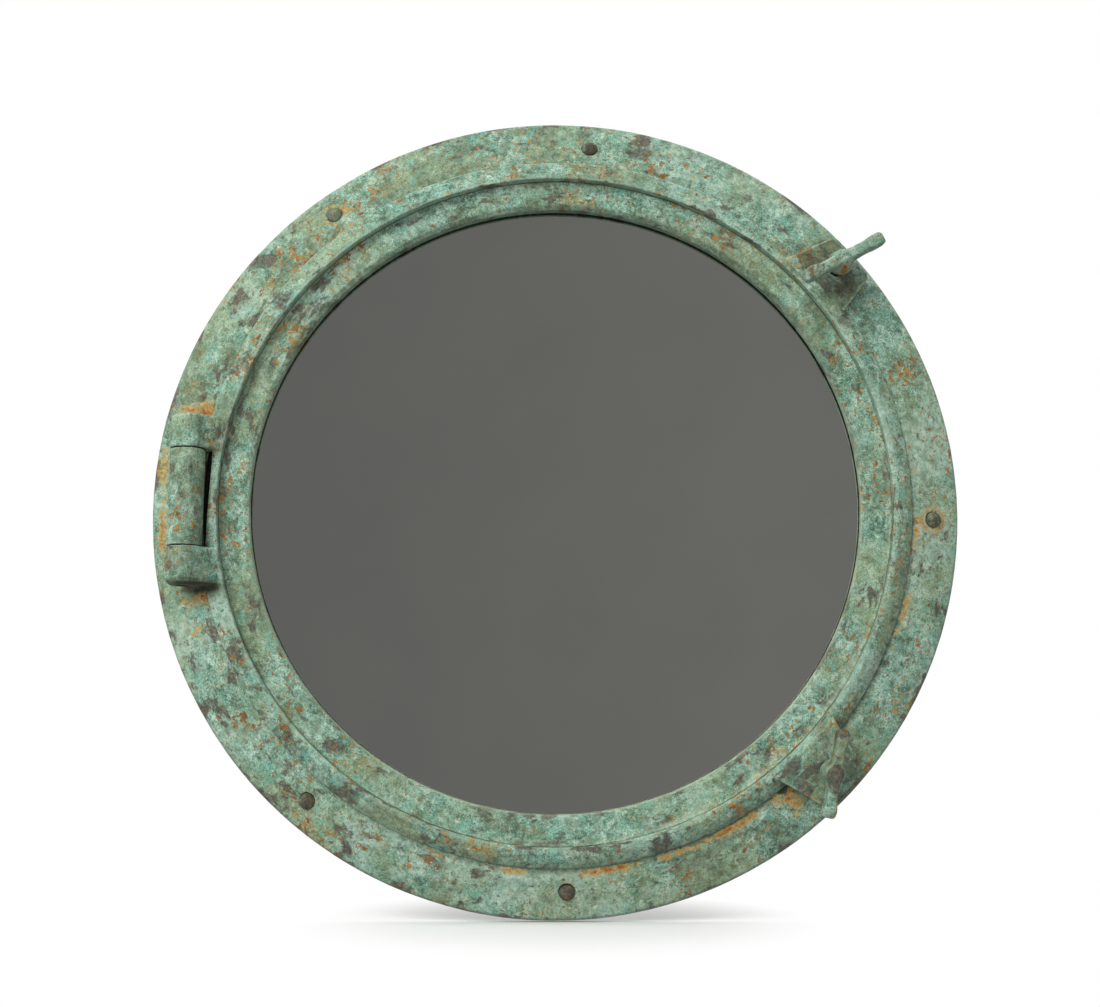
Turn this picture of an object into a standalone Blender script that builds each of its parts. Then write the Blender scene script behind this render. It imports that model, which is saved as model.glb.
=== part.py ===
"""Opening porthole with a mirror in place of clear glass.

A dished flange is screwed to a wall. A hinged door ring closes on it and is
held by two swing bolts (dogs) with wing nuts. Everything is modelled in a
front frame (x right, y up, z away from the wall, millimetres) that hangs under
one empty, which turns it to the world frame: +Z up, front facing -Y, wall
plane at Y = 0, origin at the centre of the ring on the wall plane.
"""

import math

import bmesh
import bpy
from mathutils import Matrix, Vector

MM = 0.001

# ---- driving dimensions, millimetres -------------------------------------
RING_STEPS = 60  # facets round the big rings

# fixed flange
FLANGE_R = 254.0  # overall diameter 508 (20 in)
BORE_R = 214.5  # opening behind the door
SEAT_D = 17.5  # height of the face that the door closes on
SEAT_R = 223.6
RELIEF_TOP = 5.5  # height of the relief groove in the back
GROOVE_IN, GROOVE_OUT, GROOVE_FLOOR = 216.2, 219.4, 15.0  # gasket groove

# door ring
DOOR_R = 222.2
DOOR_BASE = 17.9  # underside of the door's wall
RIM_TOP = 24.5
RIM_OUT, RIM_IN = 212.3, 209.4
LEDGE_D = 12.5  # top of the ledge under the glazing ring
GLASS_REBATE_R = 199.2
LIP_R, LIP_TOP, DOOR_BACK = 190.8, 3.8, 1.6
SPIGOT_R, SPIGOT_BACK = 212.8, 7.4
SHELL_R = 203.6

# glazing ring
GLAZE_OUT, GLAZE_IN = 209.0, 190.4
GLAZE_FACE, GLAZE_BACK = 18.0, 12.8

# glass and what it is bedded in, from the front backwards
GLASS_R = 198.8
BED_IN = 191.6
FRONT_BED = (11.1, 12.5)
GLASS = (6.8, 10.8)
BACKING = (5.2, 6.5)
REAR_BED = (4.1, 4.9)

# hinge, its axis parallel to y
HINGE_X, HINGE_D = -227.5, 27.75
BARREL_R, BARREL_LOW, BARREL_HIGH = 10.7, -28.5, 31.5
KNUCKLE_R = 10.7
KNUCKLES = (("top", 32.0, 53.0), ("bottom", -53.0, -29.1))
PIN_R, PIN_HOLE_R = 4.0, 4.3
NOTCH_LOW, NOTCH_HIGH = -28.9, 32.0  # the door's wall is cut away beside the barrel,
NOTCH_LOW_X, NOTCH_HIGH_X = -216.2, -214.2  # a little further at the top

# dogs: a swing bolt on a pin between two ears, in a slotted lug of the door
DOG_ANGLES = (("upper", 39.9, -12.3), ("lower", -45.1, 123.3))
DOG_R, DOG_D = 233.4, 16.2  # the pivot's radius and height
EAR_R, EAR_IN, EAR_OUT = 4.0, 4.1, 8.1
DOG_PIN_R, DOG_PIN_HOLE_R = 1.9, 2.1
EYE_R, EYE_HALF, EYE_HOLE_R = 4.6, 3.6, 2.2
SHANK_R, SHANK_TIP = 3.9, 23.2  # the tip's distance from the pivot
LUG_TOP, LUG_BOTTOM = 25.5, 20.6
LUG_ROOT_HALF, LUG_TIP_HALF = 23.0, 17.4
LUG_ROOT_R, LUG_TIP_R = 212.0, 246.6
SLOT_HALF = 5.2
SLOT_IN_R = 227.5  # inner end of the slot
WASHER_R, WASHER_HOLE_R = 7.4, 4.3
WASHER_Z = (15.3, 16.7)  # along the bolt, from the pivot
NUT_Z = 17.0  # the nut's foot
NUT_TOP, NUT_BORE = 14.0, 12.4  # closed top, and the blind bore's depth, from the foot
NUT_HOLE_R = 4.15
WING_HALF = {"upper": 28.7, "lower": 26.4}  # the lower nut is a little smaller
WING_THICK = 7.0
WING_RISE, WING_TIP_R = 11.4, 5.6  # the rounded tips stand above the hub's foot

# fasteners
# angle and radius of each mounting screw; the holes were drilled by hand
SCREW_PLACES = ((84.5, 234.4), (127.1, 236.6), (230.5, 236.5), (271.7, 236.3), (357.5, 236.1))
SPOT_FACE_D, SPOT_FACE_R = 13.6, 5.7
SCREW_HEAD_R, SCREW_SHANK_R, SCREW_HOLE_R = 5.0, 2.4, 2.8
SCREW_TIP = -22.0
GLAZING_SCREWS = 6
GLAZING_SCREW_R = 207.2
GLAZING_SHANK_R, GLAZING_HOLE_R = 1.75, 2.05
GLAZING_HEAD_R = 2.9

# ---- start from an empty scene -------------------------------------------
for old in list(bpy.data.objects):
    bpy.data.objects.remove(old, do_unlink=True)

scene = bpy.context.scene
collection = scene.collection


# ---- helpers --------------------------------------------------------------
def material(name, colour, roughness, metallic):
    made = bpy.data.materials.new(name)
    made.use_nodes = True
    shader = made.node_tree.nodes["Principled BSDF"]
    shader.inputs["Base Color"].default_value = (*colour, 1.0)
    shader.inputs["Roughness"].default_value = roughness
    shader.inputs["Metallic"].default_value = metallic
    made.diffuse_color = (*colour, 1.0)
    return made


def empty(name, parent=None, matrix=None):
    made = bpy.data.objects.new(name, None)
    made.empty_display_size = 0.02
    collection.objects.link(made)
    made.parent = parent
    if matrix is not None:
        made.matrix_local = matrix
    return made


def link(name, bm, parent, mat=None, sharp=35.0):
    """A bmesh in millimetres becomes an object in metres under its parent."""
    bmesh.ops.scale(bm, vec=(MM, MM, MM), verts=bm.verts)
    bmesh.ops.recalc_face_normals(bm, faces=bm.faces)
    mesh = bpy.data.meshes.new(name)
    bm.to_mesh(mesh)
    bm.free()
    mesh.shade_smooth()
    mesh.set_sharp_from_angle(angle=math.radians(sharp))
    made = bpy.data.objects.new(name, mesh)
    collection.objects.link(made)
    made.parent = parent
    if mat is not None:
        mesh.materials.append(mat)
    return made


def turned(profile, steps=RING_STEPS, offset=(0.0, 0.0), start=0.0):
    """A closed profile of (r, z) points spun about z. Points at r = 0 close on the axis."""
    bm = bmesh.new()
    points = [bm.verts.new((r * math.cos(start), r * math.sin(start), z)) for r, z in profile]
    edges = [bm.edges.new((a, b)) for a, b in zip(points, points[1:])]
    on_axis = [r == 0 for r, _ in profile]
    if not (on_axis[0] and on_axis[-1]):
        edges.append(bm.edges.new((points[-1], points[0])))
    bmesh.ops.spin(
        bm,
        geom=points + edges,
        cent=(0, 0, 0),
        axis=(0, 0, 1),
        dvec=(0, 0, 0),
        angle=2 * math.pi,
        steps=steps,
        use_merge=True,
        use_duplicate=False,
    )
    bmesh.ops.remove_doubles(bm, verts=bm.verts, dist=1e-4)
    if offset != (0.0, 0.0):
        bmesh.ops.translate(bm, verts=bm.verts, vec=(offset[0], offset[1], 0))
    return bm


def rod(radius, low, high, steps, along="z", at=(0, 0, 0), chamfer=0.0, start=0.0):
    """A plain cylinder between two stations on an axis, its ends chamfered if asked."""
    if chamfer:
        profile = [
            (0, high),
            (radius - chamfer, high),
            (radius, high - chamfer),
            (radius, low + chamfer),
            (radius - chamfer, low),
            (0, low),
        ]
    else:
        profile = [(0, high), (radius, high), (radius, low), (0, low)]
    bm = turned(profile, steps, start=start)
    turn = {
        "z": Matrix.Identity(4),
        "y": Matrix.Rotation(math.radians(-90), 4, "X"),
        "x": Matrix.Rotation(math.radians(90), 4, "Y"),
    }[along]
    bmesh.ops.transform(bm, matrix=Matrix.Translation(at) @ turn, verts=bm.verts)
    return bm


def prism(outline, low, high, at=(0, 0, 0), turn=None):
    """An outline in x and y, extruded along z."""
    bm = bmesh.new()
    face = bm.faces.new([bm.verts.new((x, y, low)) for x, y in outline])
    grown = bmesh.ops.extrude_face_region(bm, geom=[face])
    top = [g for g in grown["geom"] if isinstance(g, bmesh.types.BMVert)]
    bmesh.ops.translate(bm, verts=top, vec=(0, 0, high - low))
    if turn is not None:
        bmesh.ops.transform(bm, matrix=turn, verts=bm.verts)
    bmesh.ops.translate(bm, verts=bm.verts, vec=at)
    return bm


def arc(cx, cy, radius, from_deg, to_deg, steps):
    return [
        (
            cx + radius * math.cos(math.radians(from_deg + (to_deg - from_deg) * i / steps)),
            cy + radius * math.sin(math.radians(from_deg + (to_deg - from_deg) * i / steps)),
        )
        for i in range(steps + 1)
    ]


def helper(name, bm, parent):
    """A cutter or a lump to be joined: it is no piece of its own."""
    made = link(name, bm, parent)
    made.hide_render = True
    made.display_type = "WIRE"
    return made


def boolean(target, other, operation):
    made = target.modifiers.new(other.name, "BOOLEAN")
    made.operation = operation
    made.solver = "EXACT"
    made.object = other


def join(target, *others):
    for other in others:
        boolean(target, other, "UNION")


def cut(target, *others):
    for other in others:
        boolean(target, other, "DIFFERENCE")


def polar(radius, degrees):
    return radius * math.cos(math.radians(degrees)), radius * math.sin(math.radians(degrees))


# ---- materials, one for each kind of piece --------------------------------
VERDIGRIS = (0.27, 0.42, 0.33)
frame_bronze = material("frame_bronze", VERDIGRIS, 0.75, 0.2)
door_bronze = material("door_bronze", (0.28, 0.44, 0.35), 0.75, 0.2)
glazing_bronze = material("glazing_bronze", (0.29, 0.45, 0.37), 0.75, 0.2)
dog_bronze = material("dog_bronze", (0.20, 0.30, 0.24), 0.65, 0.4)
nut_bronze = material("nut_bronze", (0.22, 0.36, 0.29), 0.6, 0.4)
washer_bronze = material("washer_bronze", (0.24, 0.20, 0.15), 0.6, 0.6)
pin_brass = material("pin_brass", (0.35, 0.28, 0.16), 0.5, 0.9)
screw_steel = material("screw_steel", (0.10, 0.09, 0.07), 0.6, 0.6)
rear_screw_brass = material("rear_screw_brass", (0.38, 0.30, 0.15), 0.5, 0.9)
mirror = material("mirror", (0.70, 0.71, 0.70), 0.03, 1.0)
backing_board = material("backing_board", (0.25, 0.22, 0.19), 0.8, 0.0)
rubber_black = material("rubber_black", (0.02, 0.02, 0.02), 0.8, 0.0)
putty_grey = material("putty_grey", (0.20, 0.20, 0.18), 0.9, 0.0)

# ---- the frames that everything hangs under --------------------------------
root = empty(
    "mounting_plane",
    matrix=Matrix.Rotation(math.radians(90), 4, "X"),
)
hinge_at = Vector((HINGE_X, 0, HINGE_D)) * MM
hinge_axis = empty("door_hinge_axis", root, Matrix.Translation(hinge_at))


def on_door(obj):
    """Door pieces keep ring coordinates and hang under the hinge's empty."""
    obj.parent = hinge_axis
    obj.location = -hinge_at
    return obj


# ---- fixed flange ----------------------------------------------------------
frame = link(
    "frame_ring",
    turned(
        [
            (BORE_R, 0),
            (BORE_R, SEAT_D - 0.8),
            (BORE_R + 0.8, SEAT_D),
            (GROOVE_IN, SEAT_D),
            (GROOVE_IN, GROOVE_FLOOR),
            (GROOVE_OUT, GROOVE_FLOOR),
            (GROOVE_OUT, SEAT_D),
            (SEAT_R, SEAT_D),
            (229.0, 16.8),
            (238.0, 14.2),
            (246.5, 11.2),
            (251.2, 9.2),
            (253.3, 7.6),
            (FLANGE_R, 5.6),
            (FLANGE_R, 1.0),
            (FLANGE_R - 0.8, 0),
            (245.0, 0),
            (243.5, RELIEF_TOP),
            (227.5, RELIEF_TOP),
            (226.0, 0),
        ]
    ),
    root,
    frame_bronze,
)

# the hinge barrel stands on the flange by a pedestal as wide as itself
barrel = helper(
    "barrel_lump",
    rod(BARREL_R, BARREL_LOW, BARREL_HIGH, 24, "y", (HINGE_X, 0, HINGE_D), 0.7, math.pi / 24),
    root,
)
pedestal = helper(
    "pedestal_lump",
    prism(
        [(-237.8, 10.0), (-236.8, HINGE_D - 4.0), (-228.0, HINGE_D + 1.0), (-218.6, HINGE_D - 2.0), (-220.8, 18.4), (-220.8, 10.0)],
        -BARREL_HIGH + 0.35,
        -BARREL_LOW - 0.35,
        turn=Matrix.Rotation(math.radians(90), 4, "X"),
    ),
    root,
)
join(frame, barrel, pedestal)

dog_empties, dog_places = {}, {}
for which, angle, wing_turn in DOG_ANGLES:
    x, y = polar(DOG_R, angle)
    dog_places[which] = Matrix.Translation(Vector((x, y, DOG_D)) * MM) @ Matrix.Rotation(math.radians(angle), 4, "Z")
    pivot = dog_empties[which] = empty("dog_pivot_" + which, root, dog_places[which])
    # two ears, rounded over the pin, that run down into the flange
    ear_outline = [(-5.2, -6.5)] + [(5.2, -6.5)] + arc(0, 0, EAR_R, 10, 170, 8)
    for side, (a, b) in (("a", (EAR_IN, EAR_OUT)), ("b", (-EAR_OUT, -EAR_IN))):
        ear = helper(
            f"ear_{which}_{side}",
            prism(ear_outline, a, b, turn=Matrix.Rotation(math.radians(90), 4, "X") @ Matrix.Scale(-1, 4, (0, 0, 1))),
            pivot,
        )
        join(frame, ear)
    # pocket for the eye, run out towards the rim so that the shank can lie back
    pocket = helper(
        f"dog_pocket_{which}",
        prism([(-5.2, -3.95), (7.5, -3.95), (7.5, 3.95), (-5.2, 3.95)], -5.1, 6.0),
        pivot,
    )
    hole = helper(
        f"ear_hole_{which}",
        rod(DOG_PIN_HOLE_R, -12, 12, 12, "y", start=math.pi / 12),
        pivot,
    )
    cut(frame, pocket, hole)

for number, (angle, radius) in enumerate(SCREW_PLACES, 1):
    x, y = polar(radius, angle)
    # a clearance hole with a flat spot face round its mouth
    stepped = [
        (0, 24),
        (SPOT_FACE_R, 24),
        (SPOT_FACE_R, SPOT_FACE_D),
        (SCREW_HOLE_R, SPOT_FACE_D),
        (SCREW_HOLE_R, -4),
        (0, -4),
    ]
    cut(frame, helper(f"screw_hole_{number}", turned(stepped, 12, (x, y), math.radians(angle + 7)), root))

cut(frame, helper("barrel_hole", rod(PIN_HOLE_R, -40, 40, 16, "y", (HINGE_X, 0, HINGE_D)), root))

# ---- mounting screws: round head, shank and point in the wall ---------------
for number, (angle, radius) in enumerate(SCREW_PLACES, 1):
    x, y = polar(radius, angle)
    under = SPOT_FACE_D + 0.3
    profile = [
        (0, under + 3.4),
        (1.8, under + 3.2),
        (3.5, under + 2.4),
        (4.6, under + 1.2),
        (SCREW_HEAD_R, under),
        (SCREW_SHANK_R, under),
        (SCREW_SHANK_R, SCREW_TIP + 5),
        (0, SCREW_TIP),
    ]
    link(f"mounting_screw_{number}", turned(profile, 12, (x, y)), root, screw_steel)

# ---- hinge pin ---------------------------------------------------------------
link(
    "hinge_pin",
    rod(PIN_R, -48.0, 53.6, 16, "y", (HINGE_X, 0, HINGE_D), 0.6),
    root,
    pin_brass,
)

# ---- door gasket in the flange's groove --------------------------------------
link(
    "door_gasket",
    turned([(GROOVE_IN + 0.3, GROOVE_FLOOR + 0.3), (GROOVE_IN + 0.3, SEAT_D + 0.1), (GROOVE_OUT - 0.3, SEAT_D + 0.1), (GROOVE_OUT - 0.3, GROOVE_FLOOR + 0.3)]),
    root,
    rubber_black,
)

# ---- door ring -----------------------------------------------------------------
door = on_door(
    link(
        "door_ring",
        turned(
            [
                (DOOR_R, DOOR_BASE),
                (DOOR_R, 19.0),
                (221.2, 20.0),
                (RIM_OUT + 1.0, 23.9),
                (RIM_OUT, RIM_TOP),
                (RIM_IN + 0.5, RIM_TOP),
                (RIM_IN, RIM_TOP - 0.6),
                (RIM_IN, LEDGE_D),
                (GLASS_REBATE_R, LEDGE_D),
                (GLASS_REBATE_R, LIP_TOP),
                (LIP_R, LIP_TOP),
                (LIP_R, DOOR_BACK),
                (SHELL_R, DOOR_BACK),
                (SHELL_R, SPIGOT_BACK),
                (SPIGOT_R, SPIGOT_BACK),
                (SPIGOT_R, DOOR_BASE),
            ]
        ),
        root,
        door_bronze,
    )
)

# two knuckles on arms: the arm is a tapering block that fairs into the rim
for side, low, high in KNUCKLES:
    knuckle = on_door(
        helper(
            f"knuckle_{side}",
            rod(KNUCKLE_R, low, high, 24, "y", (HINGE_X, 0, HINGE_D), 1.2, math.pi / 24),
            root,
        )
    )
    top = [
        (HINGE_X + KNUCKLE_R * math.sin(math.radians(a)), HINGE_D + KNUCKLE_R * math.cos(math.radians(a)))
        for a in (0, 12, 24)
    ]
    outline = top + [(-214.5, 31.5), (-208.6, 26.2), (-204.8, 21.5), (-205.5, 18.6), (-226.0, 18.6), (-227.5, 20.0)]
    arm = on_door(
        helper(
            f"arm_{side}",
            prism(
                outline,
                -high + 0.6,
                -low - 0.6,
                turn=Matrix.Rotation(math.radians(90), 4, "X"),
            ),
            root,
        )
    )
    join(door, knuckle, arm)
# the arms stop at the rim's inner wall
arm_trim = on_door(helper("arm_trim", turned([(0, 40), (RIM_IN, 40), (RIM_IN, LEDGE_D + 0.2), (0, LEDGE_D + 0.2)]), root))
notch = on_door(
    helper(
        "barrel_notch",
        prism(
            [(-240, NOTCH_LOW), (NOTCH_LOW_X, NOTCH_LOW), (NOTCH_HIGH_X, NOTCH_HIGH), (-240, NOTCH_HIGH)],
            10,
            45,
        ),
        root,
    )
)

# lugs: tapering tongues with a domed top, each slotted for its dog
for which, angle, wing_turn in DOG_ANGLES:
    side = [(LUG_ROOT_R, -LUG_ROOT_HALF - 3), (LUG_ROOT_R + 9, -LUG_ROOT_HALF), (239.0, -18.6)]
    corner = arc(LUG_TIP_R - 6.3, -LUG_TIP_HALF + 6.0, 6.3, -80, 0, 4)
    lower = side + corner
    outline = lower + [(x, -y) for x, y in reversed(lower)]
    outline = [(x - DOG_R, y) for x, y in outline]
    lug_mesh = prism(outline, LUG_BOTTOM - DOG_D, LUG_TOP - DOG_D)
    # the tongue droops towards its tip, so that the washer clears it as the dog swings out
    for vert in lug_mesh.verts:
        is_top = vert.co.z > 6
        start, slope = (4.0, 0.36) if is_top else (6.5, 0.25)
        if vert.co.x > start:
            vert.co.z -= slope * (vert.co.x - start)
    bmesh.ops.triangulate(lug_mesh, faces=[f for f in lug_mesh.faces if len(f.verts) > 4])
    lug = helper(f"lug_{which}", lug_mesh, hinge_axis)
    lug.matrix_local = Matrix.Translation(-hinge_at) @ dog_places[which]
    slot_outline = [(24, -SLOT_HALF), (24, SLOT_HALF)] + arc(SLOT_IN_R + SLOT_HALF - DOG_R, 0, SLOT_HALF, 90, 270, 8)
    slot = helper(f"slot_{which}", prism(slot_outline, 1.0, 20.0), hinge_axis)
    slot.matrix_local = Matrix.Translation(-hinge_at) @ dog_places[which]
    join(door, lug)
    cut(door, slot)

cut(door, notch, arm_trim)
cut(
    door,
    on_door(
        helper("knuckle_hole", rod(PIN_HOLE_R, -48.5, 60, 16, "y", (HINGE_X, 0, HINGE_D), start=math.pi / 16), root)
    ),
)

# ---- glazing ring, held from behind by small screws -------------------------------
glazing = on_door(
    link(
        "glazing_ring",
        turned(
            [
                (GLAZE_OUT, GLAZE_BACK),
                (GLAZE_OUT, GLAZE_FACE - 1.6),
                (GLAZE_OUT - 1.4, GLAZE_FACE - 0.5),
                (GLAZE_OUT - 4.0, GLAZE_FACE),
                (GLAZE_IN + 3.2, GLAZE_FACE),
                (GLAZE_IN + 1.0, GLAZE_FACE - 0.7),
                (GLAZE_IN, GLAZE_FACE - 2.6),
                (GLAZE_IN, GLAZE_BACK),
            ]
        ),
        root,
        glazing_bronze,
    )
)
for number in range(1, GLAZING_SCREWS + 1):
    angle = 60.0 * (number - 1) + 10.0
    x, y = polar(GLAZING_SCREW_R, angle)
    cut(
        door,
        on_door(
            helper(
                f"glazing_clearance_{number}",
                rod(GLAZING_HOLE_R, SPIGOT_BACK - 1, LEDGE_D + 1, 10, at=(x, y, 0)),
                root,
            )
        ),
    )
    cut(
        glazing,
        on_door(
            helper(
                f"glazing_tapping_{number}",
                rod(GLAZING_HOLE_R, GLAZE_BACK - 1, 15.9, 10, at=(x, y, 0)),
                root,
            )
        ),
    )
    top = SPIGOT_BACK - 0.3
    on_door(
        link(
            f"glazing_screw_{number}",
            turned(
                [
                    (0, 15.5),
                    (GLAZING_SHANK_R, 15.5),
                    (GLAZING_SHANK_R, top),
                    (GLAZING_HEAD_R, top),
                    (GLAZING_HEAD_R, top - 1.2),
                    (1.9, top - 2.1),
                    (0, top - 2.1),
                ],
                10,
                (x, y),
            ),
            root,
            rear_screw_brass,
        )
    )

# ---- mirror and what it is bedded in -------------------------------------------------
for name, (low, high), mat in (
    ("bedding_front", FRONT_BED, rubber_black),
    ("bedding_rear", REAR_BED, putty_grey),
):
    on_door(
        link(
            name,
            turned([(GLASS_R, low), (GLASS_R, high), (BED_IN, high), (BED_IN, low)]),
            root,
            mat,
        )
    )
for name, (low, high), mat in (
    ("mirror_glass", GLASS, mirror),
    ("mirror_backing", BACKING, backing_board),
):
    on_door(link(name, turned([(0, high), (GLASS_R, high), (GLASS_R, low), (0, low)]), root, mat))

# ---- dogs ------------------------------------------------------------------------------
for which, angle, wing_turn in DOG_ANGLES:
    pivot = dog_empties[which]
    # the eye is a short drum across the pin, the shank stands on it
    bolt = link(
        "dog_bolt_" + which,
        rod(EYE_R, -EYE_HALF, EYE_HALF, 20, "y", chamfer=0.5, start=math.pi / 20),
        pivot,
        dog_bronze,
    )
    shank = helper(
        f"shank_{which}",
        turned([(0, SHANK_TIP), (SHANK_R - 0.8, SHANK_TIP), (SHANK_R, SHANK_TIP - 0.8), (SHANK_R, 3.4), (3.0, 2.6), (0, 2.6)], 16),
        pivot,
    )
    join(bolt, shank)
    cut(bolt, helper(f"eye_hole_{which}", rod(EYE_HOLE_R, -8, 8, 12, "y", start=math.pi / 12), pivot))
    link(
        "dog_pin_" + which,
        rod(DOG_PIN_R, -8.6, 8.6, 12, "y", start=math.pi / 12),
        pivot,
        pin_brass,
    )
    low, high = WASHER_Z
    link(
        "dog_washer_" + which,
        turned(
            [(WASHER_R, low + 0.3), (WASHER_R - 0.4, high), (WASHER_HOLE_R, high), (WASHER_HOLE_R, low), (WASHER_R - 0.3, low)],
            20,
        ),
        pivot,
        washer_bronze,
    )
    # wing nut: a coned hub, closed at its top, with two thick wings that rise from its foot
    spin = empty("wing_axis_" + which, pivot, Matrix.Rotation(math.radians(wing_turn), 4, "Z"))
    nut = link(
        "wing_nut_" + which,
        turned(
            [
                (0, NUT_Z + NUT_TOP),
                (4.0, NUT_Z + NUT_TOP - 0.4),
                (5.7, NUT_Z + NUT_TOP - 1.8),
                (6.6, NUT_Z + 6.0),
                (7.9, NUT_Z + 1.2),
                (7.6, NUT_Z),
                (0, NUT_Z),
            ],
            20,
        ),
        spin,
        nut_bronze,
    )
    tip = arc(WING_HALF[which] - WING_TIP_R, NUT_Z + WING_RISE, WING_TIP_R, -60, 100, 7)
    half = [(5.0, NUT_Z + 0.8), (13.0, NUT_Z + 3.6)] + tip + [(14.0, NUT_Z + 15.5), (6.0, NUT_Z + 14.5)]
    wing_outline = half + [(-x, z) for x, z in reversed(half)]
    wings_mesh = prism(
        wing_outline,
        -WING_THICK / 2,
        WING_THICK / 2,
        turn=Matrix.Rotation(math.radians(90), 4, "X"),
    )
    wings = helper(f"wings_{which}", wings_mesh, spin)
    join(nut, wings)
    cut(nut, helper(f"nut_bore_{which}", rod(NUT_HOLE_R, NUT_Z - 2, NUT_Z + NUT_BORE, 16), spin))
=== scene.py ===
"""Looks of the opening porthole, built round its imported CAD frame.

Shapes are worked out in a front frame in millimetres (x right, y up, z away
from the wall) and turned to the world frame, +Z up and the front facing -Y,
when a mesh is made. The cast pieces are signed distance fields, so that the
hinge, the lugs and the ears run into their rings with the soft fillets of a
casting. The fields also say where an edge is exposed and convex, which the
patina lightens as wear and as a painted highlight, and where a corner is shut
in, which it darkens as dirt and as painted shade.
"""

import math

import bpy
import numpy as np
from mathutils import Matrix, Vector


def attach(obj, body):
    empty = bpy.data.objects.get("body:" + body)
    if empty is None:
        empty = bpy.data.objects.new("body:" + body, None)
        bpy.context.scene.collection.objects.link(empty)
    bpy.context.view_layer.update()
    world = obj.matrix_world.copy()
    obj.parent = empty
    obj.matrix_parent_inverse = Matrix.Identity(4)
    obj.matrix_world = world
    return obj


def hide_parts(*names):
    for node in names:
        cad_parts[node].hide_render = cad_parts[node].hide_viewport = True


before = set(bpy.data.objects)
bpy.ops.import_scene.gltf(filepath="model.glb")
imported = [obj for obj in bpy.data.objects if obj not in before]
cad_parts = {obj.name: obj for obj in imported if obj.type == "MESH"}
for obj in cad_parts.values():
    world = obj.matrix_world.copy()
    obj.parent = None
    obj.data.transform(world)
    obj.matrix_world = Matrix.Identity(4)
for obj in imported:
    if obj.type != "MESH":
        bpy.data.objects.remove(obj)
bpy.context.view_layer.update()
scene = bpy.context.scene
MM = 0.001

# ---- sizes, millimetres, the same as the CAD -------------------------------
HINGE_X, HINGE_D = -227.5, 27.75
DOG_R, DOG_D = 233.4, 16.2
DOGS = (("upper", 39.9, -12.3), ("lower", -45.1, 123.3))
NUT_Z = 17.0
SCREW_PLACES = ((84.5, 234.4), (127.1, 236.6), (230.5, 236.5), (271.7, 236.3), (357.5, 236.1))


# ---- small geometry toolbox -------------------------------------------------
def rounded(corners, steps=5):
    """A closed outline whose corners (u, v, radius) are turned into arcs."""
    out = []
    n = len(corners)
    for i in range(n):
        p0 = np.array(corners[i - 1][:2], float)
        p1 = np.array(corners[i][:2], float)
        p2 = np.array(corners[(i + 1) % n][:2], float)
        radius = corners[i][2] if len(corners[i]) > 2 else 0.0
        if radius <= 0:
            out.append(p1)
            continue
        a, b = p0 - p1, p2 - p1
        la, lb = np.linalg.norm(a), np.linalg.norm(b)
        a, b = a / la, b / lb
        half = 0.5 * math.acos(max(-1.0, min(1.0, float(a @ b))))
        if half > math.radians(88):
            out.append(p1)
            continue
        reach = min(radius / math.tan(half), 0.49 * la, 0.49 * lb)
        radius = reach * math.tan(half)
        centre = p1 + (a + b) / np.linalg.norm(a + b) * (radius / math.sin(half))
        start, end = p1 + a * reach - centre, p1 + b * reach - centre
        a0 = math.atan2(start[1], start[0])
        turn = (math.atan2(end[1], end[0]) - a0 + math.pi) % (2 * math.pi) - math.pi
        for j in range(steps + 1):
            t = a0 + turn * j / steps
            out.append(centre + radius * np.array([math.cos(t), math.sin(t)]))
    return np.array(out)


def outline_distance(u, v, points):
    """Signed distance to a closed outline, negative inside."""
    best, inside = None, None
    for a, b in zip(points, np.roll(points, -1, axis=0)):
        e = b - a
        length = float(e @ e)
        if length < 1e-12:
            continue
        wu, wv = u - a[0], v - a[1]
        t = np.clip((wu * e[0] + wv * e[1]) / length, 0, 1)
        d = (wu - e[0] * t) ** 2 + (wv - e[1] * t) ** 2
        best = d if best is None else np.minimum(best, d)
        if a[1] != b[1]:
            crossed = ((a[1] > v) != (b[1] > v)) & (u < e[0] * (v - a[1]) / e[1] + a[0])
            inside = crossed if inside is None else inside ^ crossed
    return np.where(inside, -1.0, 1.0) * np.sqrt(best)


def smin(a, b, k):
    h = np.clip(0.5 + 0.5 * (b - a) / k, 0, 1)
    return b * (1 - h) + a * h - k * h * (1 - h)


def smax(a, b, k):
    return -smin(-a, -b, k)


def ease(x):
    x = np.clip(x, 0, 1)
    return x * x * (3 - 2 * x)


def waves(seed, count, short, long):
    """A smooth random field from plane waves, about -1 to 1, with wavelengths in millimetres."""
    rng = np.random.default_rng(seed)
    direction = rng.normal(size=(count, 3))
    direction /= np.linalg.norm(direction, axis=1)[:, None]
    k = direction * (2 * np.pi / rng.uniform(short, long, count))[:, None]
    phase = rng.uniform(0, 2 * np.pi, count)

    def field(x, y, z):
        total = 0.0
        for (kx, ky, kz), p in zip(k, phase):
            total = total + np.sin(kx * x + ky * y + kz * z + p)
        return total / math.sqrt(count)

    return field


cast_waves = waves(3, 18, 22, 70)
fine_waves = waves(7, 16, 5, 12)


def uneven(x, y, z, amount=0.10):
    """Cast surface: a slow wander and a little short-range unevenness."""
    return np.clip(amount * cast_waves(x, y, z) * 0.6 + amount * 0.35 * fine_waves(x, y, z), -amount, amount)


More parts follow.
